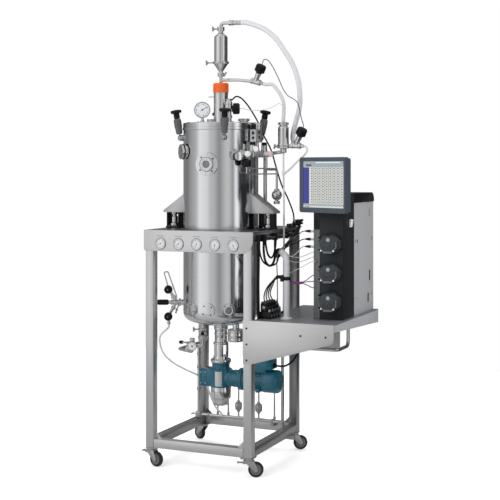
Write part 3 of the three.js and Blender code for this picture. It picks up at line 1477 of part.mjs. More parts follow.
function shelfTray() {
  const front = frontSheet + sheet + joinGap + shelfFront;
  const left = shelfX;
  const under = shelfTop - shelfSheet;
  const top = block(left, shelfRight, front, shelfBack, under, shelfTop);
  const rightFlange = sidePlate([
    [front, shelfTop - 1], [front, shelfTop - shelfFrontLip], [shelfBack, shelfTop - shelfBackLip],
    [shelfBack, shelfTop - 1],
  ].reverse(), shelfRight - sheet, sheet);
  const backFlange = block(left, shelfRight, shelfBack - sheet, shelfBack, shelfTop - shelfBackLip,
    shelfTop - 1);
  const leftFlange = block(left, left + sheet, front, legY + tubeSize / 2, shelfTop - 60, shelfTop - 1);
  const apronZ = shelfTop - shelfBackLip - apronHeight - 66;
  const apron = frontPlate([
    [apronLeft, apronZ], [apronRight, apronZ + 20], [apronRight, shelfTop - shelfBackLip + 10],
    [apronLeft, shelfTop - shelfBackLip + 10],
  ], shelfBack - sheet, sheet);
  const handleZ = shelfTop - handleDrop;
  const handle = pipe([
    vec(handleLeft, shelfBack - 2, handleZ), vec(handleLeft, handleFront, handleZ),
    vec(handleRight, handleFront, handleZ), vec(handleRight, handleFront + handleReturn, handleZ),
    vec(handleRight, handleFront + handleReturn, under + 1),
  ], handleTube, handleBend, 6);
  return join(top, rightFlange, backFlange, leftFlange, apron, handle);
}

function shelfBracket() {
  const left = skidWidth / 2 - tubeSize;
  const bottomLeft = shelfTop - bracketLeft;
  const bottomRight = shelfTop - bracketRight;
  const outline = [
    [left, shelfTop], [left, bottomLeft], [skidWidth / 2, bottomLeft],
    ...arc(shelfRight - bracketCorner, bottomRight + bracketCorner, bracketCorner, -76, 0, 4),
    [shelfRight, shelfTop],
  ];
  return frontPlate(outline, frontSheet, sheet);
}

addPart('shelf_tray', 'steel', shelfTray());
addPart('shelf_bracket', 'steel', shelfBracket());

// ---------------------------------------------------------------- valves and conduit on the shelf
function solenoidManifold() {
  const foot = shelfTop + joinGap;
  const left = shelfX + 8;
  const middle = left + solenoidBaseWidth / 2;
  const half = solenoidWidth / 2;
  const back = solenoidFront + solenoidCount * solenoidPitch - 6;
  const filterY = back + airFilterRadius + 3;
  const base = block(left, left + solenoidBaseWidth, solenoidFront, back, foot, foot + solenoidBase);
  const valves = Array.from({ length: solenoidCount }, (_, i) => {
    const y = solenoidFront + half + 2 + i * solenoidPitch;
    const stubX = left + solenoidBaseWidth - 12;
    const coil = block(left + 6, left + 6 + solenoidDepth, y - half, y + half, foot + solenoidBase - 1,
      foot + solenoidHeight);
    return join(coil, rod(vec(stubX, y, foot + solenoidBase - 4),
      vec(stubX, y, foot + solenoidBase + 28), 5));
  });
  const filterCup = rod(vec(middle, filterY, foot), vec(middle, filterY, foot + airFilterHeight),
    airFilterRadius, 10);
  const filterLink = rod(vec(middle, back - 4, foot + solenoidBase / 2),
    vec(middle, filterY, foot + solenoidBase / 2), 8);
  return join(base, valves, filterCup, filterLink);
}

function conduitPost() {
  const foot = vec(...postSpot, shelfTop + joinGap);
  const above = (height) => foot.clone().add(vec(0, 0, height));
  const base = rod(foot, above(postFlangeThickness), postFlangeRadius, 12);
  const post = pipe([above(2), above(postHeight), above(postHeight).add(vec(...postArm))],
    postRadius, postBend, 8);
  return join(base, post);
}

addPart('solenoid_manifold', 'blackPlastic', solenoidManifold());
addPart('conduit_post', 'greyPlastic', conduitPost());

// ================================================================ control tower
const towerFoot = shelfTop + joinGap;
const towerTop = towerFoot + towerHeight;

function towerCabinet() {
  const outer = block(towerLeft, towerRight, towerSplit, towerBack, towerFoot, towerTop);
  const inner = block(towerLeft + towerWall, towerRight - towerWall, towerSplit - 1,
    towerBack - towerWall, towerFoot + towerWall, towerTop - towerWall);
  return cut(outer, inner);
}

function octagon(centreX, centreZ, width, height, corner) {
  const [w, h] = [width / 2, height / 2];
  return [
    [-w + corner, -h], [w - corner, -h], [w, -h + corner], [w, h - corner], [w - corner, h],
    [-w + corner, h], [-w, h - corner], [-w, -h + corner],
  ].map(([x, z]) => [centreX + x, centreZ + z]);
}

const pumpLeft = pumpX - pumpWidth / 2;
const hingeX = pumpLeft - pumpPinRadius;
const hingeY = towerFront - pumpBaseDepth - joinGap - pumpPinRadius - 2;
const pumpLevel = (i) => towerFoot + pumpHeights[i];

function towerFascia() {
  const outline = [
    [towerLeft, towerSplit - joinGap], [towerLeft, towerFront + fasciaChamferDepth],
    [towerLeft + fasciaChamfer, towerFront], [towerRight + 4, towerFront],
    [towerRight + 4, towerSplit - joinGap],
  ];
  const bodyHeight = towerTop + joinGap + towerCap - towerFoot;
  const body = lyingPlate(outline, towerFoot, bodyHeight);
  const hollow = block(towerLeft + 14, towerRight - 6, towerFront + 70, towerSplit, towerFoot + 20,
    towerTop - 20);
  const capFoot = towerTop + joinGap;
  const capTopLevel = capFoot + towerCap;
  const cap = sidePlate([
    [towerSplit - 2, capFoot], [towerBack, capFoot],
    ...arc(towerBack - towerCapRound, capTopLevel - towerCapRound, towerCapRound, 0, 90, 6),
    [towerSplit - 2, capTopLevel],
  ], towerLeft, towerRight + 4 - towerLeft);
  const bases = pumpHeights.map((_, i) => {
    const z = pumpLevel(i);
    const base = frontPlate(octagon(pumpX, z, pumpWidth, pumpHeight, pumpCorner),
      towerFront - pumpBaseDepth, pumpBaseDepth + 1);
    const shaftFront = towerFront - pumpBaseDepth - rotorDiscDepth - 6;
    const shaft = rod(vec(pumpX, towerFront - pumpBaseDepth + 1, z), vec(pumpX, shaftFront, z),
      rotorShaftRadius, 8);
    const pins = [-1, 1].map((side) => {
      const pinZ = z + side * 26;
      const knuckle = rod(vec(hingeX, hingeY, pinZ), vec(hingeX, hingeY, pinZ + side * 8),
        pumpPinRadius, 6);
      const pin = rod(vec(hingeX, hingeY, pinZ - side * 16), vec(hingeX, hingeY, pinZ + side),
        1.6, 6);
      const [low, high] = side > 0 ? [pinZ, pinZ + 8] : [pinZ - 8, pinZ];
      const arm = block(hingeX - 2, pumpLeft + 6, hingeY, towerFront + 1, low, high);
      return join(knuckle, pin, arm);
    });
    return join(base, shaft, pins);
  });
  const z = towerFoot + switchHeight;
  const recessHalf = switchWidth / 2 + switchClearance;
  const recess = block(towerRight - 6, towerRight + 10, switchY - recessHalf, switchY + recessHalf,
    z - switchTall / 2 - 1, z + switchTall / 2 + 1);
  return join(cut(join(body, cap), hollow, recess), bases, monitorBracket());
}

// The bracket on the front of the tower, with the pin that the monitor swivels on.
function monitorBracket() {
  const { x, y } = swivelSpot;
  const plate = block(x - bracketHalf, x + bracketHalf, towerFront - 6, towerFront + 1,
    swivelLevel - 34, swivelLevel + 34);
  const arm = block(x - 16, x + 16, y, towerFront - 4, swivelLevel - 8, swivelLevel);
  const pad = rod(vec(x, y, swivelLevel - 12), vec(x, y, swivelLevel), swivelPadRadius, 12);
  const pin = rod(vec(x, y, swivelLevel - 12), vec(x, y, swivelLevel + 26), swivelPinRadius, 10);
  return join(plate, arm, pad, pin);
}

// ---------------------------------------------------------------- monitor on its tilting yoke
const monitorCentre = vec(...monitorSpot, towerFoot + monitorRise);
const facing = outward(monitorTurn);
const swivelSpot = monitorCentre.clone().addScaledVector(facing, -swivelOffset);
const swivelLevel = monitorCentre.z - 96;
const monitorAim = new THREE.Quaternion().setFromAxisAngle(up, rad(monitorTurn));
const tiltHeight = monitorCentre.z - swivelLevel;

// The yoke in its own frame: the swivel axis is X = Y = 0, the screen looks towards -Y.
function monitorYoke() {
  const collar = turned([
    [swivelPinRadius + runGap, joinGap], [24, joinGap], [24, 22], [swivelPinRadius + runGap, 22],
    [swivelPinRadius + runGap, joinGap],
  ], 12);
  const half = yokeWidth / 2;
  const web = block(-half, half, webFront, webFront + yokeThickness, joinGap, tiltHeight + 12);
  const foot = block(-20, 20, 12, webFront + 2, joinGap, 22);
  const cheeks = [-1, 1].map((side) => {
    const [x0, x1] = side > 0 ? [half - yokeThickness, half] : [-half, -half + yokeThickness];
    return block(x0, x1, -10, webFront + 1, tiltHeight - 12, tiltHeight + 12);
  });
  const collarBore = rod(vec(0, 0, -2), vec(0, 0, 30), swivelPinRadius + runGap, 12);
  const pins = [-1, 1].map((side) => {
    const from = side * (half - yokeThickness + 1);
    const to = side * (half - yokeThickness - 10);
    return rod(vec(Math.min(from, to), 0, tiltHeight), vec(Math.max(from, to), 0, tiltHeight),
      tiltPinRadius, 8);
  });
  return join(cut(join(collar, web, foot), collarBore), cheeks, pins);
}

// The monitor in its own frame: the tilt axis is X, the screen is on the -Y side.
function monitor() {
  const half = monitorDepth / 2;
  const front = -swivelOffset - half;
  const back = -swivelOffset + half;
  const w = monitorWidth / 2;
  const h = monitorHeight / 2;
  const corner = 12;
  const outline = [
    ...arc(w - corner, -h + corner, corner, -90, 0, 3), ...arc(w - corner, h - corner, corner, 0, 90, 3),
    ...arc(-w + corner, h - corner, corner, 90, 180, 3),
    ...arc(-w + corner, -h + corner, corner, 180, 270, 3),
  ];
  const body = frontPlate(outline, front, monitorDepth);
  const screenHalf = [w - 24, h - 22];
  const recess = block(-screenHalf[0], screenHalf[0], front - 1, front + 3, -screenHalf[1] + 3,
    screenHalf[1] + 3);
  const rearHousing = block(-w + 50, w - 50, back - 1, back + 10, -monitorBackDrop, h - 40);
  const inner = yokeWidth / 2 - yokeThickness - 1.5;
  const eyes = [-1, 1].map((side) => {
    const [x0, x1] = side > 0 ? [inner - 12, inner] : [-inner, -inner + 12];
    const lug = block(x0, x1, back, 0, -9, 9);
    const round = rod(vec(x0, 0, 0), vec(x1, 0, 0), 9, 8);
    return join(lug, round);
  });
  const bore = rod(vec(-inner - 1, 0, 0), vec(inner + 1, 0, 0), tiltPinRadius + runGap, 16);
  return cut(join(cut(body, recess), rearHousing, eyes), bore);
}

// ---------------------------------------------------------------- pump heads and power switch
// The cover in its own frame: hinge pin along Z at its left edge, hollow towards the tower.
function pumpCover() {
  const centre = pumpX - hingeX;
  const back = towerFront - pumpBaseDepth - joinGap - hingeY;
  const front = back - pumpCoverDepth;
  const shell = frontPlate(octagon(centre, 0, pumpWidth, pumpHeight, pumpCorner), front,
    pumpCoverDepth);
  const wall = 2 * pumpCoverWall;
  const hollow = frontPlate(octagon(centre, 0, pumpWidth - wall, pumpHeight - wall,
    pumpCorner - pumpCoverWall / 2), front + pumpCoverWall, pumpCoverDepth);
  const knuckle = turned([
    [1.6 + runGap / 2, -25], [pumpPinRadius, -25], [pumpPinRadius, 25], [1.6 + runGap / 2, 25],
    [1.6 + runGap / 2, -25],
  ], 8);
  const strap = block(pumpPinRadius * 0.6, pumpPinRadius + pumpCoverWall, -4, 1, -24, 24);
  const latch = block(centre - 24, centre + 24, front - 5, front + 1, -pumpHeight / 2 + 6,
    -pumpHeight / 2 + 15);
  return join(cut(shell, hollow), knuckle, strap, latch);
}

// The rotor in its own frame: it turns on the pump's shaft, along Y.
function pumpRotor() {
  const bore = rotorShaftRadius + runGap / 2;
  const disc = (from, to) => turned([
    [bore, from], [rotorDiscRadius, from], [rotorDiscRadius, to], [bore, to], [bore, from],
  ], 12, vec(0, 0, 0), vec(0, -1, 0));
  const rollers = Array.from({ length: rollerCount }, (_, i) => {
    const angle = (2 * Math.PI * i) / rollerCount;
    const spot = (y) => vec(rollerOrbit * Math.cos(angle), y, rollerOrbit * Math.sin(angle));
    return rod(spot(-rotorDiscDepth), spot(-3), rollerRadius);
  });
  return join(disc(0, 5), rollers);
}

// The rocker in its own frame: it pivots about Y, seated in the recess of the tower's side.
function powerSwitch() {
  const half = switchTall / 2 - 1;
  const outline = [
    [-4.5, -half + 1], [9, -half + 3], [12, 0], [15, half - 4], [-1, half - 1], [-5, 0],
  ];
  return frontPlate(outline, -switchWidth / 2, switchWidth);
}

addPart('tower_cabinet', 'steel', towerCabinet());
addPart('tower_fascia', 'darkPaint', towerFascia());
addPart('monitor_yoke', 'blackPlastic', monitorYoke(), vec(swivelSpot.x, swivelSpot.y, swivelLevel),
  monitorAim);
addPart('monitor', 'greyPlastic', monitor(), vec(swivelSpot.x, swivelSpot.y, monitorCentre.z),
  monitorAim);
pumpHeights.forEach((_, i) => {
  addPart(`pump_cover_${i + 1}`, 'darkPaint', pumpCover(), vec(hingeX, hingeY, pumpLevel(i)));
  addPart(`pump_rotor_${i + 1}`, 'greyPlastic', pumpRotor(),
    vec(pumpX, towerFront - pumpBaseDepth - joinGap, pumpLevel(i)));
});
addPart('power_switch', 'silicone', powerSwitch(),
  vec(towerRight + 1, switchY, towerFoot + switchHeight));

// ================================================================ origin
// The origin is the middle of the footprint of everything but the free hoses and cable, on the floor.
const loose = ['exhaust_hose', 'bypass_hose', 'probe_cable', 'sample_hose'];
bioreactor.updateMatrixWorld(true);
const bounds = new THREE.Box3();
for (const mesh of bioreactor.children) {
  if (!loose.includes(mesh.name)) bounds.expandByObject(mesh, true);
}
const middle = bounds.getCenter(vec(0, 0, 0));
bioreactor.position.set(-middle.x, -middle.y, -bounds.min.z);

const model = new THREE.Group();
model.add(bioreactor);

export default model;
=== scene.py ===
from math import asin, atan2, copysign, cos, degrees, hypot, pi, radians, sin, tan
import bpy
import bmesh
from mathutils import Matrix, Vector
from mathutils.geometry import tessellate_polygon


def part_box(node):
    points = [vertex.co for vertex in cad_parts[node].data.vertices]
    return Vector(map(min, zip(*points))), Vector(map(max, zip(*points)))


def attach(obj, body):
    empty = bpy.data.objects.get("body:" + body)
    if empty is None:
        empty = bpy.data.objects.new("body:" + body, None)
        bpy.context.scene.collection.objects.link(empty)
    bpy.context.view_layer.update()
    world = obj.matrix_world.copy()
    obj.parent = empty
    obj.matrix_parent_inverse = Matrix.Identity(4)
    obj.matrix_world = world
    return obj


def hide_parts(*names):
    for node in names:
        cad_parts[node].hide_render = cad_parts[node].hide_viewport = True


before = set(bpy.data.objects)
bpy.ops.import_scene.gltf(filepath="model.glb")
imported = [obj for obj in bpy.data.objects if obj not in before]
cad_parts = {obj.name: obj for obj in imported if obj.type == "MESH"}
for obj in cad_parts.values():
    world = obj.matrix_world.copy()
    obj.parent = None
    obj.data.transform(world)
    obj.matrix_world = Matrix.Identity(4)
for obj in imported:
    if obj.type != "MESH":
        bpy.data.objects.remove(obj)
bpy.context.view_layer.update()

scene = bpy.context.scene
scene.view_settings.view_transform = "Standard"
skidLow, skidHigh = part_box("skid_frame")
skidFoot = Vector(((skidLow.x + skidHigh.x) / 2, (skidLow.y + skidHigh.y) / 2, 0))
up = Vector((0, 0, 1))


def low(node):  # millimetres from the middle of the skid, as everywhere below
    return (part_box(node)[0] - skidFoot) * 1000


def high(node):
    return (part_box(node)[1] - skidFoot) * 1000


def metres(point):
    return skidFoot + Vector(point) / 1000


# Levels that many pieces share, read from the solids
skidTop = low("gauge_panel").z + 106 - 5.3
deckTop = high("gauge_panel").z
rimTop = low("vessel_lid").z - 0.3
lidTop = rimTop + 24.3
midY = (low("vessel_lid").y + high("vessel_lid").y) / 2  # of the vessel's axis
vesselRadius = 195
kneeLevel = rimTop - 953
dishBottom = high("drive_housing").z - 28
lugBottom = rimTop - 441
shelfTop = high("shelf_bracket").z
towerLow, towerHigh = low("tower_cabinet"), high("tower_cabinet")


def outward(angle):  # degrees from the front, towards the shelf
    return Vector((sin(radians(angle)), -cos(radians(angle)), 0))


def onVessel(angle, radius, z):
    return outward(angle) * radius + Vector((0, midY, z))


class Wire:  # a shader socket that takes part in plain sums
    def __init__(self, finish, socket):
        self.finish, self.socket = finish, socket

    def sum(self, operation, *pair):
        return self.finish.add("Math", pair, operation=operation)

    def __add__(self, other):
        return self.sum("ADD", self, other)

    def __radd__(self, other):
        return self.sum("ADD", other, self)

    def __mul__(self, other):
        return self.sum("MULTIPLY", self, other)


class Finish:  # a node tree that is filled one node at a time
    def __init__(self, owner):
        owner.use_nodes = True
        self.owner, self.tree = owner, owner.node_tree
        self.tree.nodes.clear()

    def add(self, kind, values=(), output=0, **settings):
        node = self.tree.nodes.new("ShaderNode" + kind)
        for key, value in settings.items():
            if key == "stops":
                ramp = node.color_ramp.elements
                while len(ramp) < len(value):
                    ramp.new(0.5)
                for element, (place, tone) in zip(ramp, value):
                    element.position = place
                    element.color = (tone, tone, tone, 1)
            else:
                setattr(node, key, value)
        pairs = values.items() if isinstance(values, dict) else enumerate(values)
        for key, value in pairs:
            if isinstance(value, Wire):
                self.tree.links.new(value.socket, node.inputs[key])
            else:
                node.inputs[key].default_value = value
        return Wire(self, node.outputs[output] if node.outputs else node.inputs[0])

    def noise(self, scale, detail=2.0, stretch=(1, 1, 1)):
        place = self.add("TexCoord", output="Object")
        place = self.add("Mapping", {"Vector": place, "Scale": stretch})
        return self.add("TexNoise", {"Vector": place, "Scale": scale, "Detail": detail})

    def blend(self, factor, first, second):
        colours = [(*c, 1) if isinstance(c, tuple) else c for c in (first, second)]
        return self.add("Mix", {0: factor, 6: colours[0], 7: colours[1]}, 2, data_type="RGBA")

    def bump(self, height, strength, distance):
        return self.add("Bump", {"Height": height, "Strength": strength, "Distance": distance})

    def close(self, values):
        shader = self.add("BsdfPrincipled", values)
        self.add("OutputMaterial", {"Surface": shader})
        return self.owner


def fresh(name):
    return Finish(bpy.data.materials.new(name))


def metal(name, tone, rough, grain, grainScale=1.0, depth=0.00012, lines=0.10, spread=0.10,
        metallic=1.0):
    # brushed or polished metal: the grain runs along the small numbers
    finish = fresh(name)
    streaks = finish.noise(900 * grainScale, 4.0, grain)
    smudges = finish.noise(7)
    dark = tuple(c * (1 - spread) for c in tone)
    colour = finish.blend(streaks, dark, tone)
    roughness = rough - lines / 2 + streaks * lines + smudges * (lines * 0.6)
    return finish.close({"Base Color": colour, "Metallic": metallic, "Roughness": roughness,
        "Normal": finish.bump(streaks, 0.35, depth)})


def moulded(name, tone, rough, coat=0.0, depth=0.0002, scale=700, lighter=1.25, shine=0.5):
    # plastic, rubber and enamel, with a fine grain and slight fading
    finish = fresh(name)
    grain = finish.noise(scale)
    fade = finish.noise(11)
    colour = finish.blend(fade, tone, tuple(min(1, c * lighter) for c in tone))
    return finish.close({"Base Color": colour, "Roughness": rough - 0.05 + fade * 0.1,
        "Coat Weight": coat, "Specular IOR Level": shine, "Normal": finish.bump(grain, 0.25,
        depth)})


def glowing(name, tone, strength):
    finish = fresh(name)
    haze = finish.noise(60, 1.0)
    colour = finish.blend(haze, tuple(c * 0.94 for c in tone), tone)
    return finish.close({"Base Color": (*[c * 0.2 for c in tone], 1), "Roughness": 0.25,
        "Emission Color": colour, "Emission Strength": strength})


def hosing(name, tone, alpha):
    finish = fresh(name)
    cloud = finish.noise(35)
    colour = finish.blend(cloud, tone, tuple(min(1, c * 1.06) for c in tone))
    return finish.close({"Base Color": colour, "Roughness": 0.32, "Alpha": alpha,
        "Coat Weight": 0.3, "Normal": finish.bump(cloud, 0.1, 0.0004)})


# Grain direction: the vessel is turned, posts are brushed upright, beams along their length
grains = {"round": (0.02, 0.02, 1.2), "upright": (1.0, 1.0, 0.02), "level": (0.02, 1.0, 1.0),
    "even": (0.5, 0.5, 0.5)}
finishes = {
    "vessel": metal("satin vessel steel", (0.84, 0.85, 0.87), 0.13, grains["round"], 0.5,
        0.00005, 0.05),
    "polished": metal("polished steel", (0.84, 0.84, 0.85), 0.09, grains["even"], 0.6, 0.00002,
        0.05),
    "sheet": metal("brushed sheet", (0.84, 0.84, 0.85), 0.36, grains["level"], 0.8),
    "post": metal("brushed tube", (0.80, 0.80, 0.81), 0.30, grains["upright"], 0.8),
    # a darker copy of the brushed tube: painted shade on the rear posts and the side beams
    "shadedTube": metal("brushed tube darkened for painted shade", (0.48, 0.48, 0.49), 0.28, (1.0, 0.02, 1.0), 0.8),
    "lug": metal("brushed lug", (0.62, 0.62, 0.63), 0.33, (0.02, 1.0, 1.0), 0.8),
    # a darker sheet tone for the deck plate
    "tray": metal("darker tray sheet", (0.42, 0.42, 0.44), 0.30, grains["level"], 0.8),
    "counter": metal("counter sheet", (0.30, 0.31, 0.33), 0.30, grains["level"], 0.8, metallic=0.5),
    "apron": metal("apron sheet", (0.55, 0.55, 0.56), 0.4, grains["level"], 0.8, metallic=0.7),
    "cabinet": metal("satin cabinet", (0.52, 0.53, 0.55), 0.38, grains["upright"], 0.8,
        metallic=0.3),
    "strip": metal("grey side strip", (0.17, 0.185, 0.18), 0.4, grains["upright"], 0.8,
        metallic=0.2),
    "pipe": metal("drawn pipe", (0.78, 0.78, 0.78), 0.2, grains["even"], 0.5, 0.00004),
    "zinc": metal("zinc plate", (0.62, 0.63, 0.64), 0.34, grains["even"], 0.5, 0.0002, 0.2, 0.2),
    "nickel": metal("pale nickel", (0.86, 0.82, 0.70), 0.3, grains["even"], 0.5, 0.0001),
    "black": moulded("black moulding", (0.006, 0.006, 0.007), 0.34, shine=0.28),
    "sleeve": moulded("grey sleeve", (0.085, 0.085, 0.09), 0.33, 0.2),
    "slate": moulded("slate moulding", (0.050, 0.062, 0.082), 0.46),
    "dark": moulded("dark front coat", (0.018, 0.020, 0.023), 0.42, shine=0.3),
    "graphite": moulded("graphite coat", (0.012, 0.014, 0.016), 0.34, shine=0.35),
    "gloss": moulded("gloss black", (0.003, 0.003, 0.004), 0.16),
    "pale": moulded("pale conduit", (0.50, 0.51, 0.53), 0.4, 0.1),
    "teal": moulded("teal enamel", (0.005, 0.080, 0.124), 0.22, 0.5, 0.0003, 260, 1.3),
    "orange": moulded("orange cap", (0.72, 0.125, 0.014), 0.38, 0.1),
    "rubber": moulded("black rubber", (0.008, 0.008, 0.008), 0.5, shine=0.3),
    "greyWire": moulded("grey lead", (0.10, 0.10, 0.105), 0.45),
    "paleWire": moulded("pale lead", (0.52, 0.52, 0.52), 0.45),
    "tyre": moulded("tyre rubber", (0.012, 0.012, 0.012), 0.5, 0.1),
    "cover": moulded("wheel cover grey", (0.11, 0.11, 0.115), 0.38, 0.1),
    "white": moulded("white moulding", (0.78, 0.78, 0.77), 0.4, 0.1, 0.0001, 700, 1.05),
    "dial": moulded("dial white", (0.84, 0.85, 0.86), 0.3, 0.3, 0.00002, 300, 1.03),
    "paleDial": moulded("pale dial", (0.60, 0.61, 0.62), 0.35, 0.1, 0.00002, 300, 1.05),
    "ink": moulded("dial ink", (0.02, 0.02, 0.025), 0.5),
    "blueInk": moulded("pointer blue", (0.05, 0.09, 0.22), 0.4),
    "red": moulded("red moulding", (0.45, 0.06, 0.04), 0.4, 0.1),
    "violet": moulded("violet sleeve", (0.26, 0.07, 0.26), 0.4, 0.1),
    "pink": moulded("pink silicone", (0.72, 0.52, 0.52), 0.45, 0.1),
    "silicone": hosing("white silicone", (0.68, 0.69, 0.72), 0.95),
    "smoke": hosing("smoked cover", (0.030, 0.038, 0.045), 0.80),
    "glass": hosing("sight glass", (0.16, 0.18, 0.19), 0.9),
    "screen": glowing("lit screen", (0.74, 0.76, 0.70), 0.75),
    "screenBlue": glowing("screen blue", (0.05, 0.06, 0.30), 0.8),
    "screenTeal": glowing("screen header", (0.34, 0.42, 0.44), 0.8),
    "screenLines": glowing("screen lines", (0.30, 0.31, 0.32), 0.8),
    # pale grey for painted highlights on the pump covers
    "edge": moulded("pale moulding for painted highlights", (0.26, 0.28, 0.29), 0.3, 0.2),
    "screenInk": glowing("screen ink", (0.16, 0.17, 0.22), 0.6),
    "screenLight": glowing("screen bar", (0.80, 0.84, 0.86), 0.8),
}
print("finishes made")


def lay(foot, aim=up, spin=0.0):  # stands a piece drawn along +Z on its foot, along the aim
    turn = up.rotation_difference(Vector(aim)).to_matrix().to_4x4()
    return Matrix.Translation(Vector(foot)) @ turn @ Matrix.Rotation(radians(spin), 4, "Z")


def standing(spot, angle, axis="Z"):
    return Matrix.Translation(spot) @ Matrix.Rotation(radians(angle), 4, axis)


def arc(a, b, radius, start, end, steps):
    angles = [radians(start + (end - start) * i / steps) for i in range(steps + 1)]
    return [(a + radius * cos(t), b + radius * sin(t)) for t in angles]


def softened(outline, radius, closed, steps=2):  # rounds the corners of an outline
    points = [Vector(p) for p in outline]
    made = []
    for i, corner in enumerate(points):
        if not closed and i in (0, len(points) - 1):
            made.append(corner)
            continue
        before, after = corner - points[i - 1], points[(i + 1) % len(points)] - corner
        if before.length < 1e-6 or after.length < 1e-6 or before.angle(after) < 0.25:
            made.append(corner)
            continue
        cut = min(radius, before.length * 0.4, after.length * 0.4)
        start, end = corner - before.normalized() * cut, corner + after.normalized() * cut
        for k in range(steps + 1):
            t = k / steps
            made.append(start * (1 - t) ** 2 + corner * 2 * t * (1 - t) + end * t * t)
    return [tuple(p) for p in made]


def bent(corners, bend, steps=6):  # straight runs joined by arcs
    points = [Vector(p) for p in corners]
    made = [points[0]]
    for a, b, c in zip(points, points[1:], points[2:]):
        before, after = (b - a).normalized(), (c - b).normalized()
        turn = before.angle(after)
        if turn < 0.02:
            made.append(b)
            continue
        side = (after - before * after.dot(before)).normalized()
        start = b - before * bend * tan(turn / 2)
        for k in range(steps + 1):
            t = turn * k / steps
            made.append(start + before * bend * sin(t) + side * bend * (1 - cos(t)))
    made.append(points[-1])
    return made


def flowing(points, pieces):  # a smooth route through the points of a hose
    given = [Vector(p) for p in points]
    given = [given[0] * 2 - given[1]] + given + [given[-1] * 2 - given[-2]]
    route = []
    for a, b, c, d in zip(given, given[1:], given[2:], given[3:]):
        spans = [max((q - p).length, 1e-4) ** 0.5 for p, q in ((a, b), (b, c), (c, d))]
        leave = ((b - a) / spans[0] - (c - a) / (spans[0] + spans[1])
            + (c - b) / spans[1]) * spans[1]
        reach = ((c - b) / spans[1] - (d - b) / (spans[1] + spans[2])
            + (d - c) / spans[2]) * spans[1]
        for k in range(pieces):
            t = k / pieces
            route.append(b + leave * t + (c * 3 - b * 3 - leave * 2 - reach) * t * t
                + (b * 2 - c * 2 + leave + reach) * t ** 3)
    return route + [given[-2]]


sharpEdge = radians(36)  # past this angle an edge isn't shaded smooth


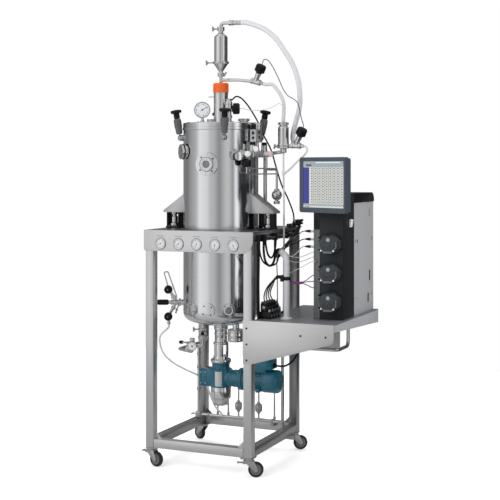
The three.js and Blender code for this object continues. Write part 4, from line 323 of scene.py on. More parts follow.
class Piece:  # gathers shapes in millimetres and makes one object of them
    def __init__(self, name, slot, node=None, body="skid"):
        self.name, self.slot, self.node, self.body = name, slot, node, body
        self.points, self.faces, self.marks, self.used = [], [], [], []
        self.place, self.mark = Matrix(), 0

    def use(self, finish):
        if finish not in self.used:
            self.used.append(finish)
        self.mark = self.used.index(finish)
        return self

    def keep(self, points, faces, place=None, bevel=0.0, limit=30):
        small = bmesh.new()
        spots = [small.verts.new(p) for p in points]
        for face in faces:
            small.faces.new([spots[i] for i in face])
        bmesh.ops.remove_doubles(small, verts=small.verts, dist=1e-4)
        bmesh.ops.recalc_face_normals(small, faces=small.faces)
        if bevel:
            edges = [e for e in small.edges if len(e.link_faces) == 2
                and e.calc_face_angle() > radians(limit)]
            bmesh.ops.bevel(small, geom=edges, offset=bevel, segments=2, profile=0.5,
                affect="EDGES", clamp_overlap=True)
        whole = self.place @ (place or Matrix())
        start = len(self.points)
        small.verts.index_update()
        self.points += [whole @ v.co for v in small.verts]
        for face in small.faces:
            self.faces.append([start + v.index for v in face.verts])
            self.marks.append(self.mark)
        small.free()
        return self

    def turned(self, profile, foot=(0, 0, 0), aim=up, sides=40, round=0.8, spin=0.0):
        ring = profile[0] == profile[-1]
        line = softened(profile[:-1] if ring else profile, round, ring)
        if ring:
            line.append(line[0])
        points, faces, rows = [], [], []
        for radius, height in line:
            start = len(points)
            count = 1 if radius < 1e-6 else sides
            for k in range(count):
                t = 2 * pi * k / sides
                points.append((radius * cos(t), radius * sin(t), height))
            rows.append((start, count))
        for (a, n), (b, m) in zip(rows, rows[1:]):
            for k in range(sides):
                j = (k + 1) % sides
                face = [a + k % n, a + j % n, b + j % m, b + k % m]
                face = [p for i, p in enumerate(face) if p not in face[:i]]
                if len(face) > 2:
                    faces.append(face)
        return self.keep(points, faces, lay(foot, aim, spin))

    def ring(self, inner, outer, start, end, foot, aim=up, sides=40, round=0.8, spin=0.0):
        profile = [(inner, start), (outer, start), (outer, end), (inner, end), (inner, start)]
        return self.turned(profile, foot, aim, sides, round, spin)

    def rod(self, start, end, radius, sides=24, round=0.7):
        start, end = Vector(start), Vector(end)
        length = (end - start).length
        profile = [(0, 0), (radius, 0), (radius, length), (0, length)]
        return self.turned(profile, start, end - start, sides, round)

    def stud(self, x, y, low, high, *sizes):  # an upright rod
        return self.rod((x, y, low), (x, y, high), *sizes)

    def ball(self, centre, radius, sides=24):
        return self.turned(arc(0, 0, radius, -90, 90, sides // 2), centre, up, sides, 0)

    def swept(self, route, radius, sides=14):
        route = [Vector(p) for p in route]
        route = [p for i, p in enumerate(route) if i == 0 or (p - route[i - 1]).length > 1e-3]
        ways = [(b - a).normalized() for a, b in zip(route, route[1:])]
        ways = [ways[0]] + [(a + b).normalized() for a, b in zip(ways, ways[1:])] + [ways[-1]]
        side = ways[0].orthogonal().normalized()
        points = []
        for spot, way in zip(route, ways):
            side = (side - way * side.dot(way)).normalized()
            other = way.cross(side)
            for k in range(sides):
                t = 2 * pi * k / sides
                points.append(spot + side * radius * cos(t) + other * radius * sin(t))
        faces = [list(range(sides))[::-1], [len(points) - sides + k for k in range(sides)]]
        for row in range(len(route) - 1):
            a = row * sides
            for k in range(sides):
                j = (k + 1) % sides
                faces.append([a + k, a + j, a + sides + j, a + sides + k])
        return self.keep(points, faces)

    def pipe(self, corners, radius, bend, sides=18):
        return self.swept(bent(corners, bend), radius, sides)

    def block(self, first, second, bevel=1.0, place=None):
        x, y, z = (sorted(pair) for pair in zip(first, second))
        points = [(a, b, c) for a in x for b in y for c in z]
        faces = [(0, 1, 3, 2), (4, 6, 7, 5), (0, 4, 5, 1), (2, 3, 7, 6), (0, 2, 6, 4), (1, 5, 7, 3)]
        return self.keep(points, faces, place, bevel)

    def plate(self, outline, facing, start, thick, bevel=0.5, holes=(), place=None):
        spread = {"z": lambda a, b, c: (a, b, c), "y": lambda a, b, c: (a, c, b),
            "x": lambda a, b, c: (c, a, b)}[facing]
        loops = [list(outline)] + [list(h) for h in holes]
        flat = [p for loop in loops for p in loop]
        count = len(flat)
        points = [spread(a, b, start) for a, b in flat]
        points += [spread(a, b, start + thick) for a, b in flat]
        faces = []
        for tri in tessellate_polygon([[Vector((a, b, 0)) for a, b in loop] for loop in loops]):
            faces += [list(tri), [i + count for i in reversed(tri)]]
        first = 0
        for loop in loops:
            for k in range(len(loop)):
                a, b = first + k, first + (k + 1) % len(loop)
                faces.append([a, b, b + count, a + count])
            first += len(loop)
        return self.keep(points, faces, place, bevel)

    def grown(self, mesh, place):  # takes in the result of a node tree
        whole = self.place @ place
        start = len(self.points)
        self.points += [whole @ v.co for v in mesh.vertices]
        for face in mesh.polygons:
            self.faces.append([start + i for i in face.vertices])
            self.marks.append(self.mark)
        return self

    def done(self):
        mesh = bpy.data.meshes.new(self.name)
        mesh.from_pydata([metres(p) for p in self.points], [], self.faces)
        for finish in self.used:
            mesh.materials.append(finishes[finish])
        mesh.polygons.foreach_set("material_index", self.marks)
        mesh.polygons.foreach_set("use_smooth", [True] * len(mesh.polygons))
        edit = bmesh.new()
        edit.from_mesh(mesh)
        for edge in edit.edges:
            if len(edge.link_faces) == 2 and edge.calc_face_angle() > sharpEdge:
                edge.smooth = False
        edit.to_mesh(mesh)
        edit.free()
        made = bpy.data.objects.new(self.name, mesh)
        scene.collection.objects.link(made)
        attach(made, self.body)
        if self.node:
            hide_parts(self.node)
        return made


def plantTree(name, inputs):  # a geometry tree with its named inputs
    tree = bpy.data.node_groups.new(name, "GeometryNodeTree")
    for label, kind in inputs.items():
        tree.interface.new_socket(label, in_out="INPUT", socket_type="NodeSocket" + kind)
    tree.interface.new_socket("Geometry", in_out="OUTPUT", socket_type="NodeSocketGeometry")
    return tree, tree.nodes.new("NodeGroupInput"), tree.nodes.new("NodeGroupOutput")


def joined(tree, kind, links, **settings):
    node = tree.nodes.new(kind)
    for key, value in settings.items():
        setattr(node, key, value)
    for key, value in links.items():
        if hasattr(value, "is_linked"):
            tree.links.new(value, node.inputs[key])
        else:
            node.inputs[key].default_value = value
    return node


def scattered(tree, result, finish, **links):  # one part at every point, made real, with its finish
    spread = joined(tree, "GeometryNodeInstanceOnPoints", links)
    real = joined(tree, "GeometryNodeRealizeInstances", {0: spread.outputs[0]})
    dressed = joined(tree, "GeometryNodeSetMaterial", {"Geometry": real.outputs[0],
        "Material": finish})
    tree.links.new(dressed.outputs[0], result.inputs[0])
    return tree


def ringTree(name, part):  # the same small part at even steps round a circle
    sizes = {"bolt": {"Across": "Float", "Tall": "Float", "Corners": "Int"},
        "rib": {"Size": "Vector"}}[part]
    tree, given, result = plantTree(name, {"Count": "Int", "Radius": "Float", **sizes,
        "Finish": "Material"})
    wires = given.outputs
    circle = joined(tree, "GeometryNodeMeshCircle", {"Vertices": wires["Count"],
        "Radius": wires["Radius"]})
    if part == "bolt":
        small = joined(tree, "GeometryNodeMeshCylinder", {"Vertices": wires["Corners"],
            "Radius": wires["Across"], "Depth": wires["Tall"]})
    else:
        small = joined(tree, "GeometryNodeMeshCube", {"Size": wires["Size"]})
    step = joined(tree, "ShaderNodeMath", {0: 2 * pi, 1: wires["Count"]}, operation="DIVIDE")
    order = tree.nodes.new("GeometryNodeInputIndex")
    angle = joined(tree, "ShaderNodeMath", {0: order.outputs[0], 1: step.outputs[0]},
        operation="MULTIPLY")
    turn = joined(tree, "ShaderNodeCombineXYZ", {"Z": angle.outputs[0]})
    return scattered(tree, result, wires["Finish"], Points=circle.outputs[0],
        Instance=small.outputs[0], Rotation=turn.outputs[0])


def gridTree(name):  # rows of small plates, for a screen's table and for vents
    tree, given, result = plantTree(name, {"Wide": "Float", "High": "Float", "Columns": "Int",
        "Rows": "Int", "Size": "Vector", "Finish": "Material"})
    wires = given.outputs
    grid = joined(tree, "GeometryNodeMeshGrid", {"Size X": wires["Wide"], "Size Y": wires["High"],
        "Vertices X": wires["Columns"], "Vertices Y": wires["Rows"]})
    small = joined(tree, "GeometryNodeMeshCube", {"Size": wires["Size"]})
    return scattered(tree, result, wires["Finish"], Points=grid.outputs[0],
        Instance=small.outputs[0])


def grow(tree, finish, **sizes):  # runs a tree once and hands back a plain mesh
    holder = bpy.data.objects.new("holder", bpy.data.meshes.new("holder"))
    scene.collection.objects.link(holder)
    modifier = holder.modifiers.new("grow", "NODES")
    modifier.node_group = tree
    for item in tree.interface.items_tree:
        if item.in_out == "INPUT":
            value = finishes[finish] if item.name == "Finish" else sizes[item.name]
            modifier[item.identifier] = value
    ready = holder.evaluated_get(bpy.context.evaluated_depsgraph_get())
    mesh = bpy.data.meshes.new_from_object(ready)
    bpy.data.objects.remove(holder)
    return mesh


boltRing = ringTree("ring of bolts", "bolt")
ribRing = ringTree("ring of ribs", "rib")
plateGrid = gridTree("grid of plates")


def bolts(piece, finish, foot, aim, count, ring, across, tall, spin=45.0, corners=6):
    mesh = grow(boltRing, finish, Count=count, Radius=ring, Across=across, Tall=tall,
        Corners=corners)
    piece.use(finish).grown(mesh, lay(foot, aim, spin))


def ribs(piece, finish, foot, aim, count, ring, size, spin=0.0):
    mesh = grow(ribRing, finish, Count=count, Radius=ring, Size=size)
    piece.use(finish).grown(mesh, lay(foot, aim, spin))


def plates(piece, finish, place, wide, high, columns, rows, size):
    mesh = grow(plateGrid, finish, Wide=wide, High=high, Columns=columns, Rows=rows, Size=size)
    piece.use(finish).grown(mesh, place)


print("tools ready")

# Camera, light, air and floor
cameraPlace = {"spot": (2.5264, -5.3925, 1.514), "turn": 23.84, "lens": 81.7, "shift": -0.163}
camera = bpy.data.objects.new("camera", bpy.data.cameras.new("camera"))
camera.data.lens, camera.data.sensor_width = cameraPlace["lens"], 36
camera.data.shift_y = cameraPlace["shift"]
camera.location = skidFoot + Vector(cameraPlace["spot"])
camera.rotation_euler = (radians(90), 0, radians(cameraPlace["turn"]))
scene.collection.objects.link(camera)
scene.camera = camera

# How bright the room is round the object, in degrees from the viewer's side towards the shelf
room = {-180: 0.20, -150: 0.24, -137: 0.21, -123: 0.20, -111: 0.30, -101: 0.37, -84: 0.48,
    -76: 0.60, -67: 0.92, -54: 0.84, -40: 0.77, -34: 0.62, -28: 0.52, -22: 0.57, -15: 0.45,
    -3: 0.28, 3: 0.38, 15: 0.57, 22: 0.62, 28: 0.58, 36: 0.36, 40: 0.26, 45: 0.85, 54: 1.15,
    59: 0.60, 66: 0.06, 76: 0.03, 92: 0.10, 110: 0.08, 150: 0.06, 180: 0.20}
overhead, soft = 0.7, 0.72
world = bpy.data.worlds.new("studio")
scene.world = world
air = Finish(world)
turn = radians(cameraPlace["turn"])
facing = air.add("TexCoord", output="Generated")
sideways, nearer = (air.add("VectorMath", {0: facing, 1: way}, 1, operation="DOT_PRODUCT")
    for way in ((cos(turn), sin(turn), 0), (sin(turn), -cos(turn), 0)))
heading = sideways.sum("ARCTAN2", sideways, nearer)
heading = heading * (0.5 / pi) + 0.5
stops = [((angle + 180) / 360, value) for angle, value in room.items()]
walls = air.add("ValToRGB", (heading,), stops=stops)
height = air.add("SeparateXYZ", (facing,), 2)
lift = air.add("MapRange", {"Value": height, "From Min": 0.5, "From Max": 0.85})
mirrored = air.blend(lift, walls, (overhead,) * 3)
seen = [air.add("LightPath", output=name) for name in ("Is Camera Ray", "Is Transmission Ray",
    "Is Glossy Ray")]
tone = air.blend(seen[2], (soft,) * 3, mirrored)
tone = air.blend(seen[0] + seen[1], tone, (1.0, 1.0, 1.0))
sky = air.add("Background", {"Color": tone, "Strength": 1.0})
air.add("OutputWorld", {"Surface": sky})

ground = fresh("pale floor")
paper = ground.noise(3.0)
matte = ground.add("BsdfDiffuse", {"Color": ground.blend(paper, (0.90, 0.90, 0.90),
    (0.92, 0.92, 0.92))})
glow = ground.add("Emission", {"Color": (1, 1, 1, 1), "Strength": 0.36})
lit = ground.add("AddShader", (matte, glow))
spot = ground.add("TexCoord", output="Object")
across = ground.add("SeparateXYZ", (spot,))  # painted shade: the floor that metal reflects is darker towards the shelf
shade = ground.add("MapRange", {"Value": across, "From Min": 0.3, "From Max": 0.9, "To Min": 0.42,
    "To Max": 0.05})
dull = ground.add("BsdfDiffuse", {"Color": shade})
watched = [ground.add("LightPath", output=name) for name in ("Is Camera Ray", "Is Glossy Ray")]
seenFloor = ground.add("MixShader", (watched[0], matte, lit))
ground.add("OutputMaterial", {"Surface": ground.add("MixShader", (watched[1], seenFloor, dull))})
floorMesh = bpy.data.meshes.new("floor")
floorMesh.from_pydata([(x, y, 0) for x, y in ((-3, -3), (3, -3), (3, 3), (-3, 3))], [],
    [(0, 1, 2, 3)])
floorMesh.materials.append(ground.owner)
floor = bpy.data.objects.new("floor", floorMesh)
scene.collection.objects.link(floor)


def softbox(name, heading, distance, height, size, power):
    lamp = bpy.data.lights.new(name, "AREA")
    lamp.shape, lamp.size, lamp.size_y, lamp.energy = "RECTANGLE", size[0], size[1], power
    made = bpy.data.objects.new(name, lamp)
    angle = radians(cameraPlace["turn"] + heading - 90)
    made.location = (distance * cos(angle), distance * sin(angle), height)
    aim = up * 1.0 - made.location
    made.rotation_euler = aim.to_track_quat("-Z", "Y").to_euler()
    made.visible_glossy = False
    scene.collection.objects.link(made)


softbox("key softbox", -48, 4.2, 3.4, (2.4, 2.4), 95)
softbox("side softbox", 80, 4.0, 2.6, (1.6, 2.6), 45)
softbox("top softbox", 160, 2.2, 4.2, (2.6, 2.0), 40)
print("camera, light and floor placed")


# Hoses and cables first: each follows the route of its solid
def cordPiece(name, points, radius, finish, node=None, pieces=14, stiffness="medium"):
    route = flowing(points, pieces)
    length = sum((b - a).length for a, b in zip(route, route[1:])) / 1000
    slot = "white_silicone" if finish in ("silicone", "paleWire") else "black_rubber"
    tube = Piece(name, slot, node).use(finish).swept(route, radius, 16 if radius > 6 else 10)
    tube.done()
    radius / 500


condenserTop = high("exhaust_condenser").z
filterTop = high("exhaust_filter").z
ventFoot = low("exhaust_filter").z
elbowLevel = ventFoot + 313
exhaustEnd = Vector((118, midY, elbowLevel - 4))
exhaustAim = (exhaustEnd - Vector((0, midY, elbowLevel))).normalized()
inletX, inletY = vesselRadius + 136, midY + 50
inletFoot = lugBottom + 326
hoseReturn = Vector((inletX + 35, inletY + 44, inletFoot + 50))
bypassBody = Vector((196, midY, ventFoot + 1.3))
bypassEnd = bypassBody + Vector((44, 4, -12))
bypassAim = (bypassEnd - bypassBody).normalized()
bypassLanding = Vector((inletX, inletY, inletFoot + 146.3))
probeExit = Vector((47, midY, lidTop + 120.3))
probeLanding = Vector((285, 262, deckTop + 0.3))
sampleLevel = kneeLevel + 46
sampleOut = outward(-66)
sampleFoot = onVessel(-66, vesselRadius + 12.3, sampleLevel)
sampleHub = sampleFoot + sampleOut * 24
armOut, armRise = 40, 70


def armBall(sign):
    return sampleHub + sampleOut * armOut + up * sign * armRise


sampleOutlet = armBall(-1) - up * 44
# The route's points, its radius, finish and node
hoses = {
    "exhaustHose": ([exhaustEnd, exhaustEnd + exhaustAim * 24, (205, -50, 2246),
        (252, -50, 2224), (306, -50, 2180), (350, -50, 2122), (398, -48, 2047), (428, -40, 1958),
        (432, -26, 1880), (420, -4, 1820), (392, 24, 1760), (370, 42, 1704), hoseReturn + up * 20,
        hoseReturn], 13, "silicone", "exhaust_hose"),
    "bypassHose": ([bypassEnd, bypassEnd + bypassAim * 14, (284, -38, 1944), (308, -30, 1918),
        (326, -20, 1886), (336, -10, 1850), (334, -2, 1806), bypassLanding + up * 16,
        bypassLanding], 9, "silicone", "bypass_hose"),
    "probeCable": ([probeExit, probeExit + Vector((14, 0, 0)), (92, -58, 1886),
        (118, -60, 1878), (150, -58, 1847), (177, -50, 1806), (202, -40, 1759), (226, -20, 1690),
        (243, 10, 1640), (252, 34, 1600), (261, 64, 1530), (275, 110, 1431), (292, 170, 1345),
        (297, 222, 1276), probeLanding + Vector((1, -2, 30)), probeLanding], 4, "rubber",
        "probe_cable"),
    "sampleHose": ([sampleOutlet, sampleOutlet - up * 14, (-296, -165, 640), (-300, -160, 596),
        (-282, -150, 545), (-240, -130, 500), (-180, -100, 462), (-130, -60, 430), (-112, 0, 380),
        (-112, 60, 300), (-112, 120, 230), (-112, 180, 190), (-112, 213.5, 165.5)], 5, "silicone",
        "sample_hose"),
}
for name, hose in hoses.items():
    cordPiece(name, *hose)
print("hoses and cables laid")


# Solids whose own shape is right get their finish and softened edges
def dress(node, finish, bevel=0.8):
    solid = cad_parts[node]
    solid.data.materials.clear()
    solid.data.materials.append(finishes[finish])
    weld = solid.modifiers.new("weld", "WELD")
    weld.merge_threshold = 0.00002
    if bevel:
        merge = solid.modifiers.new("flatten", "DECIMATE")
        merge.decimate_type, merge.angle_limit = "DISSOLVE", radians(0.6)
        edge = solid.modifiers.new("soften", "BEVEL")
        edge.width, edge.segments, edge.limit_method = bevel / 1000, 2, "ANGLE"
        edge.angle_limit, edge.harden_normals = radians(30), True


# Skid of welded square tube
skid = {"width": 590, "depth": 648, "tube": 46, "round": 4.5, "gusset": 38, "plate": 64,
    "plateThick": 5, "boltPitch": 50, "race": 23}
skidFloor = skidTop - 1101
half, reach = skid["tube"] / 2, skid["plate"] / 2
legX, legY = skid["width"] / 2 - half, skid["depth"] / 2 - half
legs = [(x, y) for x in (-legX, legX) for y in (-legY, legY)]
tubes = Piece("skidTubes", "brushed_sheet", "skid_frame")
for x, y in legs:
    inward, deeper = -copysign(1, x), -copysign(1, y)
    edge, foot = x + inward * half, skidFloor + skid["tube"]
    # the rear posts take the darker tube finish, painted shade
    tubes.use("post" if y < 0 else "shadedTube")
    tubes.block((x - half, y - half, skidFloor), (x + half, y + half, skidTop), skid["round"])
    tubes.plate([(edge, foot), (edge + inward * skid["gusset"], foot),
        (edge, foot + skid["gusset"])], "y", y - 2, 4, 0.6)
    seatX, seatY = x + inward * (reach - half), y + deeper * (reach - half)
    tubes.use("zinc").block((seatX - reach, seatY - reach, skidFloor - skid["plateThick"]),
        (seatX + reach, seatY + reach, skidFloor))
    tubes.stud(x, y, skidFloor - 11, skidFloor - 4, skid["race"], 32)
    for a in (-0.5, 0.5):
        for b in (-0.5, 0.5):
            bolt = Vector((seatX + a * skid["boltPitch"], seatY + b * skid["boltPitch"],
                skidFloor - 9))
            tubes.rod(bolt, bolt + up * 5, 5, 6, 0.5)
for z in (skidFloor + half, skidTop - half):
    for y in (-legY, legY):
        tubes.use("sheet").block((-legX + half - 0.4, y - half, z - half),
            (legX - half + 0.4, y + half, z + half), skid["round"])
    for x in (-legX, legX):
        # the side beams take the darker tube finish, painted shade
        tubes.use("shadedTube").block((x - half, -legY + half - 0.4, z - half),
            (x + half, legY - half + 0.4, z + half), skid["round"])
for x, y in legs:  # weld beads where the rails meet the posts
    side = x - copysign(half, x)
    for z in (skidFloor + skid["tube"], skidTop - skid["tube"]):
        tubes.use("zinc").swept([(side, y - half + 4, z), (side, y + half - 4, z)], 1.6, 8)
tubes.done()
print("skid made")

# Casters: zinc forks, grey wheel covers and black tyres
caster = {"radius": 38, "width": 26, "trail": 33, "cheek": 3, "gap": 1.6, "axle": 5, "hub": 25}
casters = {"front_left": (-legX, -legY, -12, True), "front_right": (legX, -legY, 22, True),
    "rear_left": (-legX, legY, 155, False), "rear_right": (legX, legY, 30, False)}
crownTop = 2 * caster["radius"] + 8.5
for label, (x, y, swivel, braked) in casters.items():
    place = standing((x, y, 0), swivel)
    outer = caster["width"] / 2 + caster["gap"] + caster["cheek"]
    fork = Piece("casterFork_" + label, "zinc_plate", "caster_fork_" + label, "fork_" + label)
    fork.place = place
    fork.use("zinc").stud(0, 0, crownTop - 6, crownTop, skid["race"], 40, 1.5)
    fork.block((-16, -outer, crownTop - 6), (skid["race"], outer, crownTop), 1.5)
    cheek = [(-16, crownTop), (-16, crownTop - 14)]
    cheek += arc(caster["trail"], caster["radius"], 11, 225, 395, 10) + [(skid["race"], crownTop)]
    for start in (-outer, outer - caster["cheek"]):
        fork.plate(cheek, "y", start, caster["cheek"], 0.8)
    axle = Vector((caster["trail"], 0, caster["radius"]))
    across = Vector((0, 1, 0))
    fork.rod(axle - across * (outer + 3), axle + across * (outer + 3), caster["axle"])
    for side in (-1, 1):
        nut = axle + across * side * (outer + 0.2)
        fork.rod(nut, nut + across * side * 2.4, 8.5, 6, 0.5)
    if braked:
        fork.rod((-26, -16, crownTop - 13), (-26, 16, crownTop - 13), 3, 16)
        for lug in (-14.5, 14.5):
            fork.block((-30, lug - 1.5, crownTop - 18), (-13.8, lug + 1.5, crownTop - 1), 0.8)
    fork.done()
    wheel = Piece("casterWheel_" + label, "black_rubber", "caster_wheel_" + label, "wheel_" + label)
    wheel.place = place @ Matrix.Translation(axle)
    w, r, hub = caster["width"] / 2, caster["radius"], caster["hub"]
    wheel.use("tyre").turned([(27, -w + 1), (r - 5, -w), (r, -w + 7), (r, w - 7), (r - 5, w),
        (27, w - 1), (27, -w + 1)], (0, 0, 0), (0, 1, 0), 56, 2.5)
    for side in (-1, 1):
        wheel.use("cover").turned([(5.6, 0), (hub + 2, 0), (hub + 2, w - 2.2), (hub - 2, w - 0.6),
            (12, w - 2.8), (9.5, w - 0.4), (5.6, w - 0.4), (5.6, 0)], (0, 0, 0), across * side, 40,
            1)
    wheel.done()
    if braked:
        dress("caster_brake_" + label, "zinc", 0.8)
print("casters made")

# Deck plate with the two load cells
deck = {"right": 303, "front": -324, "back": 332, "thick": 5, "hole": 209, "cellX": 272, "pad": 46,
    "padThick": 8}
plate = Piece("deckAndCells", "brushed_sheet", "deck_plate").use("tray")
right, front, back, pad = (deck[key] for key in ("right", "front", "back", "pad"))
outline = [(-right, front), (right, front), (right, back), (-right, back)]
plate.plate(outline, "z", deckTop - deck["thick"], deck["thick"], 0.7,
    [arc(0, midY, deck["hole"], 360, 3.75, 95)])
for side in (-1, 1):
    x, outer = side * deck["cellX"], side * (right - 2)
    plate.use("black").block((side * (deck["cellX"] - pad), midY - pad, deckTop - 1),
        (outer, midY + pad, deckTop + deck["padThick"]))
    plate.use("pipe").turned([(0, 7), (25, 7), (25, 22), (18, 30), (18, 58), (14, 62), (14, 70),
        (20, 72), (20, 81.5), (0, 81.5)], (x, midY, deckTop), up, 36)
    for face in (side * (deck["cellX"] - 38), outer):
        plate.use("black").block((face - side * 6, midY - 34, deckTop + 7),
            (face, midY + 34, lugBottom - 0.4), 0.8)
    bolts(plate, "zinc", (x, midY, deckTop + 10), up, 4, 32, 4.5, 5)
plate.done()

# Gauge panel: five dials let into the front plate
panel = {"right": 303, "height": 106, "bigRound": 66, "smallRound": 10, "pitch": 101, "shift": -4,
    "drop": 67, "bezel": 29, "raise": 5, "dials": 5}
panelFront = low("gauge_panel").y + panel["raise"]
panelLow = deckTop - panel["height"]
right, small, big = panel["right"], panel["smallRound"], panel["bigRound"]
outline = [(-right, deckTop)] + arc(-right + small, panelLow + small, small, 180, 270, 6)
outline += arc(right - big, panelLow + big, big, -90, 0, 16) + [(right, deckTop)]
dials = Piece("gaugePanel", "brushed_sheet", "gauge_panel").use("sheet")
dials.plate(outline, "y", panelFront, 3, 0.5)


def dialFace(piece, centre, aim, radius, reading, ink="ink", steps=21, face="dial"):
    # a printed face with its ticks, pointer and hub, standing along the aim
    piece.use(face).turned([(0, -1), (radius, -1), (radius, 0), (0, 0)], centre, aim, 40, 0)
    for count, reach, long, wide in ((steps, 0.84, 0.14, 0.03), (7, 0.80, 0.24, 0.06)):
        ribs(piece, ink, centre + aim * 0.15, aim, count, radius * reach,
            (radius * long, radius * wide, 0.3))
    hand = lay(centre + aim * 0.6, aim, reading)
    piece.use(ink).block((-radius * 0.25, -radius * 0.035, 0), (radius * 0.72, radius * 0.035, 0.4),
        0, hand)
    piece.rod(centre, centre + aim * 1.6, radius * 0.11, 16, 0.3)


toViewer = Vector((0, -1, 0))
r = panel["bezel"]
for i in range(panel["dials"]):
    centre = Vector((panel["shift"] + (i - 2) * panel["pitch"], panelFront,
        deckTop - panel["drop"]))
    bezel = [(r - 6, 0), (r, 0)] + arc(r - 3, 1.9, 3, 0, 180, 8) + [(r - 6, 0)]
    dials.use("polished").turned(bezel, centre, toViewer, 56, 0)
    # a thin slate ring round each bezel is a painted shadow
    dials.use("slate").ring(r - 0.4, r + 1.6, 0, 0.5, centre, toViewer, 56, 0)
    dialFace(dials, centre + toViewer * 1.6, toViewer, r - 6, 200 + 23 * i, "cover",
        face="paleDial")
    dials.use("strip").block(centre + Vector((-20, -0.5, 38)), centre + Vector((20, 0.5, 40)), 0)
    dials.use("black").rod(centre - toViewer * 2.5, centre - toViewer * 19, 14)
dials.done()
print("deck and panel made")

# Vessel shell with its ports, lugs and clamp ears
shell = {"wall": 10, "knuckle": 48, "slope": 20, "nozzle": 36, "bore": 23, "rimRaise": 4,
    "rimTall": 14}
crownRadius = (vesselRadius - shell["knuckle"]) / sin(radians(shell["slope"])) + shell["knuckle"]
crownMiddle = dishBottom + crownRadius


def dish(offset, bore):
    crown, knuckle, slope = crownRadius - offset, shell["knuckle"], shell["slope"] - 90
    start = degrees(asin(bore / crown)) - 90
    return (arc(0, crownMiddle, crown, start, slope, 8) + arc(vesselRadius - knuckle, kneeLevel,
        knuckle - offset, slope, 0, 10)[1:])


vessel = Piece("vessel", "polished_steel", "vessel_shell").use("vessel")
outside = [(shell["nozzle"], dishBottom - 10)] + dish(0, shell["nozzle"])
for out, z in ((0, kneeLevel + 4), (1.1, kneeLevel + 6), (1.1, kneeLevel + 9), (0, kneeLevel + 11),
        (0, rimTop - shell["rimTall"]), (shell["rimRaise"], rimTop - 12),
        (shell["rimRaise"], rimTop), (-shell["wall"], rimTop)):
    outside.append((vesselRadius + out, z))
inside = dish(shell["wall"], shell["bore"])[::-1] + [(shell["bore"], dishBottom - 10)]
vessel.turned(outside + inside + outside[:1], (0, midY, 0), up, 160, 0.6)
for angle in (45, 135, 225, 315):
    vessel.block((-2, 152, kneeLevel + 80), (2, 188, rimTop - 110), 0.5, standing((0, midY, 0),
        angle))


def flange(piece, angle, level, radius, raised, count, hole, finish="polished"):
    # a blind flange on the vessel, with its bolts let in round the edge
    foot, aim = onVessel(angle, vesselRadius - 6, level), outward(angle)
    piece.use(finish).turned([(0, 0), (radius - 4, 0), (radius - 4, 7), (radius, 9),
        (radius, raised + 6), (0, raised + 6)], foot, aim, 56, 1.0)
    bolts(piece, "ink", foot + aim * (raised + 6), aim, count, radius * 0.76, hole, 0.6, 45, 12)


sightAngle, sightLevel = 5, rimTop - 190
sightFace, sightAim = onVessel(sightAngle, vesselRadius + 14, sightLevel), outward(sightAngle)
flange(vessel, sightAngle, sightLevel, 59, 14, 4, 4.6)
vessel.use("polished").ring(30.5, 41, 0, 1.6, sightFace, sightAim, 48, 0.5)
vessel.use("ink").ring(35.2, 37.2, 0, 1.9, sightFace, sightAim, 48, 0)
for angle in (-90, 90):  # the split of the sight glass ring
    vessel.block((46, -0.5, 0), (58, 0.5, 0.3), 0, lay(sightFace, sightAim, angle))
flange(vessel, -24, kneeLevel + 26, 37, 13, 4, 4.0)
flange(vessel, 6, kneeLevel + 26, 37, 13, 4, 4.0)
flange(vessel, 36, kneeLevel + 26, 37, 12, 6, 3.4, "pipe")
eye = onVessel(36, vesselRadius + 12, kneeLevel + 26)
vessel.use("polished").ring(17, 26, -1, 1, eye, outward(36))
vessel.use("glass").rod(eye + outward(36) * -2, eye + outward(36) * 0.4, 17.5, 32, 0.3)
side = outward(-45)
port = onVessel(-45, vesselRadius - 6, rimTop - 125)
vessel.use("polished").rod(port, port + side * 17, 34, 48)
vessel.use("rubber").rod(port + side * 15, port + side * 21, 40, 48)
vessel.use("polished").rod(port + side * 21, port + side * 32, 38.5, 48, 1.5)
bolts(vessel, "ink", port + side * 32, side, 6, 26, 4, 0.6, 30, 12)
vessel.use("polished").rod(onVessel(-66, vesselRadius - 6, sampleLevel),
    onVessel(-66, vesselRadius + 12, sampleLevel), 15)
clampLevel, clampLean = rimTop - 53, radians(9)
clampAngles = (-60, 30, 120, 210)


def clampWay(angle):
    return outward(angle) * sin(clampLean) + up * cos(clampLean)


for angle in clampAngles:
    ear = onVessel(angle, vesselRadius + 14, clampLevel)
    vessel.use("zinc").rod(onVessel(angle, vesselRadius - 5, clampLevel), ear, 16, 32, 2)
    vessel.turned(arc(0, 0, 15.7, -90, 90, 12), ear, outward(angle), 32, 0)
    foot = onVessel(angle, vesselRadius + 17, clampLevel)
    vessel.rod(foot, foot + clampWay(angle) * 118, 5, 16)
heaterTop = dishBottom - 16
vessel.use("polished").stud(86, midY, heaterTop - 3, dishBottom + 14, 17)
vessel.turned([(0, 0), (39, 0), (43, 4), (43, 15), (41, 16), (41, 21), (43, 22), (43, 46), (41, 47),
    (41, 52), (43, 53), (43, 58), (39, 62), (0, 62)], (86, midY, heaterTop - 62), up, 48, 1)
vessel.done()

lugs = Piece("supportLugs", "brushed_sheet").use("lug")
for side in (-1, 1):
    root, nose = side * (vesselRadius - 5), side * high("vessel_shell").x
    lugs.plate([(root, lugBottom), (nose, lugBottom), (nose, lugBottom + 10),
        (root, lugBottom + 101)], "y", midY - 45, 90, 1.2)
lugs.done()

glass = Piece("sightGlass", "clear_glass", "sight_glass").use("polished")
spot, aim = onVessel(sightAngle, vesselRadius, sightLevel), sightAim
glass.turned([(18, 15), (29, 15), (35, 14.6), (35, 18), (33, 19.3), (19, 19.3), (18, 18), (18, 15)],
    spot, aim, 56)
glass.use("glass").turned([(0, -10), (29.7, -10), (29.7, 14.6), (18.2, 15.2), (0, 15.2)], spot, aim,
    48, 0.5)
bolts(glass, "ink", spot + aim * 19.4, aim, 8, 27, 1.6, 0.5, 0, 10)
glass.done()
print("vessel made")

